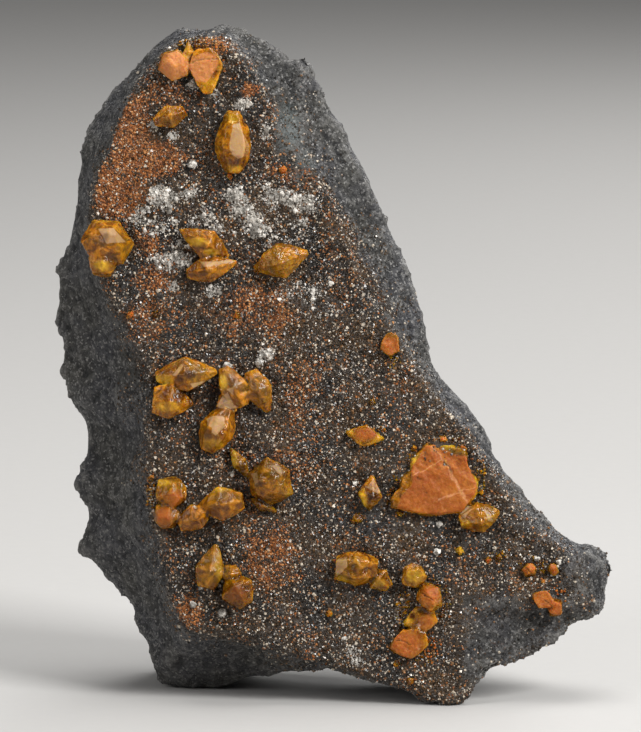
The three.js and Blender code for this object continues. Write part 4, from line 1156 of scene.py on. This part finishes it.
def sturmanite():
    """Cloudy amber that glows where it is thin, with satin facets that carry a painted reflection, and matt
    breaks.
    """
    material, tree, drivers = new_material("sturmanite, honey to amber", CRYSTAL_NOISES, CRYSTAL_MARKS)
    marble, broken = drivers["marble"], drivers["broken"]
    glow = add_node(tree, RANGE, {0: marble, 1: 0.36, 2: 0.56, 3: 0.35, 4: 0.9})
    glow = add_node(tree, MATH, {0: drivers["glowing"], 1: glow}, operation="MULTIPLY")
    satin_sheen = add_node(tree, RANGE, {0: marble, 1: 0.38, 2: 0.56, 3: 0.6, 4: 1.0})
    satin_sheen = add_node(tree, MATH, {0: drivers["satin_and_sheen"], 1: satin_sheen}, operation="MULTIPLY")
    amber = amber_coats(tree, drivers, glow, satin_sheen)
    colour = coated(tree, amber, [(broken, 0.0, 1.0, 0.0, 1.0, salmon_coats(tree, drivers))])
    colour = add_node(tree, VECTORS, {0: colour, "Scale": drivers["tone"]}, operation="SCALE")

    cloudy = add_node(tree, RANGE, {0: marble, 1: 0.45, 2: 0.6})
    for opaque in (broken, satin_sheen, drivers["glowing"]):
        cloudy = add_node(tree, MATH, {0: cloudy, 1: opaque}, operation="MAXIMUM")
    clear = add_node(tree, MATH, {0: cloudy, 1: -CLEAREST, 2: CLEAREST}, operation="MULTIPLY_ADD")
    rough = add_node(tree, RANGE, {0: drivers["polish"], 1: 0.35, 2: 0.65, 3: 0.06, 4: 0.26})
    rough = add_node(tree, MIX, {0: satin_sheen, 2: rough, 3: SATIN_ROUGH}, data_type="FLOAT")
    rough = add_node(tree, MIX, {0: broken, 2: rough, 3: BREAK_ROUGH}, data_type="FLOAT")
    waxy = {"Height": drivers["fine"], "Distance": 0.00012, "Strength": 0.7}
    absorbed = {"Color": (0.92, 0.55, 0.06, 1), "Density": 800.0}
    output = next(node for node in tree.nodes if node.bl_idname == "ShaderNodeOutputMaterial")
    feed(tree, output, {"Volume": add_node(tree, "ShaderNodeVolumeAbsorption", absorbed)})
    return shaded(material, {
        "Base Color": colour, "Roughness": rough, "Normal": add_node(tree, "ShaderNodeBump", waxy),
        "IOR": 1.5, "Specular IOR Level": 0.25, "Transmission Weight": clear,
        "Subsurface Weight": 1.0, "Subsurface Radius": (1.0, 0.5, 0.08), "Subsurface Scale": 0.0007,
    })


# %% Helpers for finishing a piece
def smooth(mesh):
    mesh.polygons.foreach_set("use_smooth", [True] * len(mesh.polygons))


def put_in_frame(thing, node=None):
    """Turns a finished piece into the frame's metres, says what it rides on, and hides the node that it takes
    the place of.
    """
    thing.data.transform(FACE_TO_FRAME)
    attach(thing, "root")
    if node:
        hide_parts(node)


def softened(mesh, rounds):
    """Wears the edges of a skin round."""
    thing = place_in_scene("softened", mesh)
    modifier = thing.modifiers.new("worn edges", "SMOOTH")
    modifier.factor = 0.5
    modifier.iterations = rounds
    worn = as_made(thing)
    bpy.data.objects.remove(thing)
    return worn


# %% Make every group of crystals
FINE_SKIN = 0.12  # millimetres between the points of a crystal's skin
WEAR_ROUNDS = 5  # rounds of smoothing that wear its edges
FACET_ROUNDS = 8  # rounds of smoothing that tell an edge between facets
LOW_ENDS = (0.3, 1.5)  # millimetres from the stone over which a crystal stops being painted dark as shade, and set with druse

stone_tree = BVHTree.FromPolygons(*polygons_of(stone.data))
crystal_material = sturmanite()
crystal_relief = growth_tree()
triangles = 0
feet = []
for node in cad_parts:
    if node == "matrix":
        continue
    skin = softened(even_skin(solid_of(node), FINE_SKIN), WEAR_ROUNDS)
    away = rooted(skin, stone_tree)
    paint(skin, "low", 1 - smoothstep(*LOW_ENDS, away))
    paint_marks(skin, node)
    crystals = place_in_scene(node + "_crystals", skin)
    crystals.data = run_tree(crystals, crystal_relief, **CRYSTAL_RELIEF, Material=crystal_material)
    paint(crystals.data, "depth", thickness(crystals.data))
    paint(crystals.data, "ridge", standing_out(crystals.data, FINE_SKIN, FACET_ROUNDS))
    paint(crystals.data, "tone", np.full(len(crystals.data.vertices), TONES.get(node, 1.0)))
    feet.append((positions(crystals.data), polygons_of(crystals.data)[1], painted_on(crystals.data, "low")))
    smooth(crystals.data)
    put_in_frame(crystals, node)
    triangles += 2 * len(crystals.data.polygons)
print("crystals:", triangles, "triangles")

# %% [markdown]
# ## Bits on and between the crystals
#
# The druse also climbs a little way up the crystals' feet, and bits of sturmanite and barite lie all about.
# The druse on the feet is the same tree of octahedra, run on the low parts of the crystals. The bits are worn
# lumps: the larger ones are given one by one, with their size, and the finest are strewn where broken crystal
# or white druse is near. One tree sets a lump of the right size at each place, and noise wears it.

# %% Druse on the crystals' feet
FOOT = 0.35  # how low a point has to be, from 0 to 1, to carry druse


def joined(parts):
    """One mesh from the low faces of many, with how low each point is."""
    places, faces, lows = [], [], []
    for part_places, part_faces, low in parts:
        first = sum(len(p) for p in places)
        faces += [[first + v for v in face] for face in part_faces if low[list(face)].min() > FOOT]
        places.append(part_places)
        lows.append(low)
    mesh = bpy.data.meshes.new("feet")
    mesh.from_pydata(np.concatenate(places).tolist(), [], faces)
    paint(mesh, "crust", smoothstep(FOOT, 1.0, np.concatenate(lows)))
    return mesh


foot_druse = place_in_scene("druse_on_feet", joined(feet))
foot_druse.data = run_tree(foot_druse, octahedra, Density=14.0, Size=0.2, Seed=9, Material=black_material)
print("druse on the feet:", len(foot_druse.data.polygons), "faces")
crusts.append(foot_druse)

# %% Where the bits lie
LOOSE = {  # x, z and size, in millimetres
    "loose_sturmanite": [
        (-6.8, 70.6, 1.0), (3.4, 23.6, 1.3), (5.3, 39.3, 0.8), (2.7, 23.2, 0.7), (-0.5, 10.7, 0.9),
        (10.4, 1.6, 0.9), (-27.4, 51.0, 0.9), (-24.0, 51.1, 0.9), (-13.0, 50.9, 0.8), (10.5, 24.6, 0.7),
        (9.0, 24.2, 0.8), (8.1, 27.4, 0.6), (18.6, 22.4, 0.7), (10.9, 33.0, 0.8), (17.6, 33.0, 0.9),
        (14.9, 34.2, 0.8), (20.0, 27.0, 0.7), (-24.6, 29.0, 0.8), (-14.0, 69.8, 0.8), (-10.3, 57.0, 0.8),
        (20.9, 17.9, 0.8), (22.4, 18.2, 0.9), (28.3, 15.0, 0.6), (14.6, 10.6, 0.7), (8.6, 4.0, 0.8),
    ],
    "loose_barite": [
        (-19.0, 71.4, 1.2), (-15.0, 10.8, 1.1), (-17.8, 14.3, 0.8), (-13.6, 29.6, 0.7), (3.0, 28.3, 0.6),
        (14.0, 19.0, 0.9), (14.3, 22.7, 0.8), (-14.3, 44.1, 1.1), (-9.9, 44.6, 1.2), (-24.1, 76.8, 1.1),
        (-19.2, 56.7, 0.9), (-18.9, 11.9, 0.9), (27.6, 18.0, 0.7), (30.5, 17.6, 0.7), (4.9, 28.9, 0.5),
    ],
}
CRUMBS = [  # soft ovals, as for the patches: broken bits of sturmanite round the crystals' feet
    (10.4, 25.0, 2.2, 1.0, 1.0), (15.5, 34.0, 2.4, 0.9, 1.0), (10.8, 31.7, 1.1, 1.6, 1.0),
    (9.3, 29.0, 1.3, 1.6, 0.6), (19.8, 29.0, 0.9, 2.4, 1.0), (8.2, 26.0, 1.1, 1.5, 0.8),
    (-24.2, 26.7, 1.2, 2.4, 0.8), (13.6, 12.6, 2.2, 3.0, 0.5), (9.4, 11.2, 1.1, 2.6, 0.5),
    (12.6, 5.8, 2.2, 2.2, 0.5), (30.6, 12.4, 2.6, 1.8, 0.35), (27.3, 16.8, 2.4, 1.6, 0.35),
    (22.0, 18.4, 1.6, 0.9, 0.8), (-18.0, 87.5, 3.2, 1.3, 0.6), (5.7, 34.7, 2.2, 1.4, 0.3),
    (8.3, 44.6, 1.4, 0.9, 0.4), (0.4, 16.4, 1.6, 1.8, 0.3),
]


def strewn(where, count, smallest, biggest, seed):
    """Random points of the stone, more of them where it is marked, with a size for each."""
    rng = np.random.default_rng(seed)
    chosen = rng.choice(len(where), count, replace=False, p=where / where.sum())
    sizes = smallest + (biggest - smallest) * rng.random(count) ** 2
    return list(zip(positions(stone.data)[chosen], sizes))


def set_down(bits):
    """Bits given by x, z and size, each dropped square on to the stone."""
    start, inwards = -40, Vector((0, 1, 0))
    return [(stone_tree.ray_cast(Vector((x, start, z)), inwards)[0], size) for x, z, size in bits]


# %% A tree that sets a worn lump at each place
WEAR_SCALE = 3.0  # waves of wear to a millimetre


def lump_tree():
    """Balls made real first, so that the noise wears each one differently."""
    tree = bpy.data.node_groups.new("worn lumps", "GeometryNodeTree")
    given = grow(tree, {"Fineness": int, "Wear": float, "Material": bpy.types.Material})
    size = add_node(tree, "GeometryNodeInputNamedAttribute", {"Name": "size"}, data_type="FLOAT")
    ball = {"Radius": 0.5, "Subdivisions": given["Fineness"]}
    ball = add_node(tree, "GeometryNodeMeshIcoSphere", ball)
    points = add_node(tree, "GeometryNodeMeshToPoints", {"Mesh": given[0]})
    lumps = {"Points": points, "Instance": ball, "Scale": size}
    lumps = add_node(tree, "GeometryNodeInstanceOnPoints", lumps)
    real = add_node(tree, "GeometryNodeRealizeInstances", {0: lumps})
    place = add_node(tree, "GeometryNodeInputPosition")
    wear = add_node(tree, NOISE, {"Vector": place, "Scale": WEAR_SCALE, "Detail": 2.0}, out="Color")
    wear = add_node(tree, VECTORS, {0: wear, 1: (0.5, 0.5, 0.5)}, operation="SUBTRACT")
    wear = add_node(tree, VECTORS, {0: wear, "Scale": given["Wear"]}, operation="SCALE")
    worn = add_node(tree, "GeometryNodeSetPosition", {"Geometry": real, "Offset": wear})
    end_tree(tree, worn, given["Material"])
    return tree


# %% Lay the bits on the stone
SUNK = 0.15  # how deep a lump lies, as a share of its size
ROUND_FROM = 3  # lumps this fine or finer are shaded round, coarser ones in facets
LUMP_MARKS = {"tone": 0.95, "depth": 1.8}  # how pale, and how many millimetres thick, the amber of a lump is

lump_shape = lump_tree()


def lumps_on_stone(name, lumps, fineness, wear, whole, material):
    """Lumps given by place and size, as one piece; where the clump number is over whole they are orange."""
    seeds = bpy.data.meshes.new(name)
    seeds.from_pydata([Vector(place) - Vector((0, SUNK * size, 0)) for place, size in lumps], [], [])
    paint(seeds, "size", [size for _, size in lumps])
    piece = place_in_scene(name, seeds)
    piece.data = run_tree(piece, lump_shape, Fineness=fineness, Wear=wear, Material=material)
    for attribute, value in LUMP_MARKS.items():
        paint(piece.data, attribute, np.full(len(piece.data.vertices), value))
    paint(piece.data, "broken", smoothstep(whole, whole + 0.1, clumps(piece.data, 4.0, seed=12)))
    paint(piece.data, "dusky", 0.8 * clumps(piece.data, 1.0, seed=14))
    paint(piece.data, "shade", clumps(piece.data, 0.7, seed=15))
    if fineness >= ROUND_FROM:
        smooth(piece.data)
    put_in_frame(piece)
    print(name, len(piece.data.polygons), "faces")


crumbly = open_ground * patches(stone.data, CRUMBS)
crumbs = strewn(crumbly, count=380, smallest=0.18, biggest=0.42, seed=21)
knots = strewn(open_ground * whitish, count=600, smallest=0.18, biggest=0.66, seed=22)
lumps_on_stone("sturmanite_crumbs", crumbs, 2, wear=0.55, whole=0.9, material=crystal_material)
lumps_on_stone("barite_knots", knots, 2, wear=0.8, whole=1.0, material=white_material)
sturmanite_bits, barite_bits = (set_down(bits) for bits in LOOSE.values())
lumps_on_stone("loose_sturmanite", sturmanite_bits, 3, wear=0.9, whole=0.4, material=crystal_material)
lumps_on_stone("loose_barite", barite_bits, 3, wear=0.9, whole=1.0, material=white_material)

# %% Finish the stone and its crusts
smooth(stone.data)
put_in_frame(stone, "matrix")
for grains in crusts:
    put_in_frame(grains)
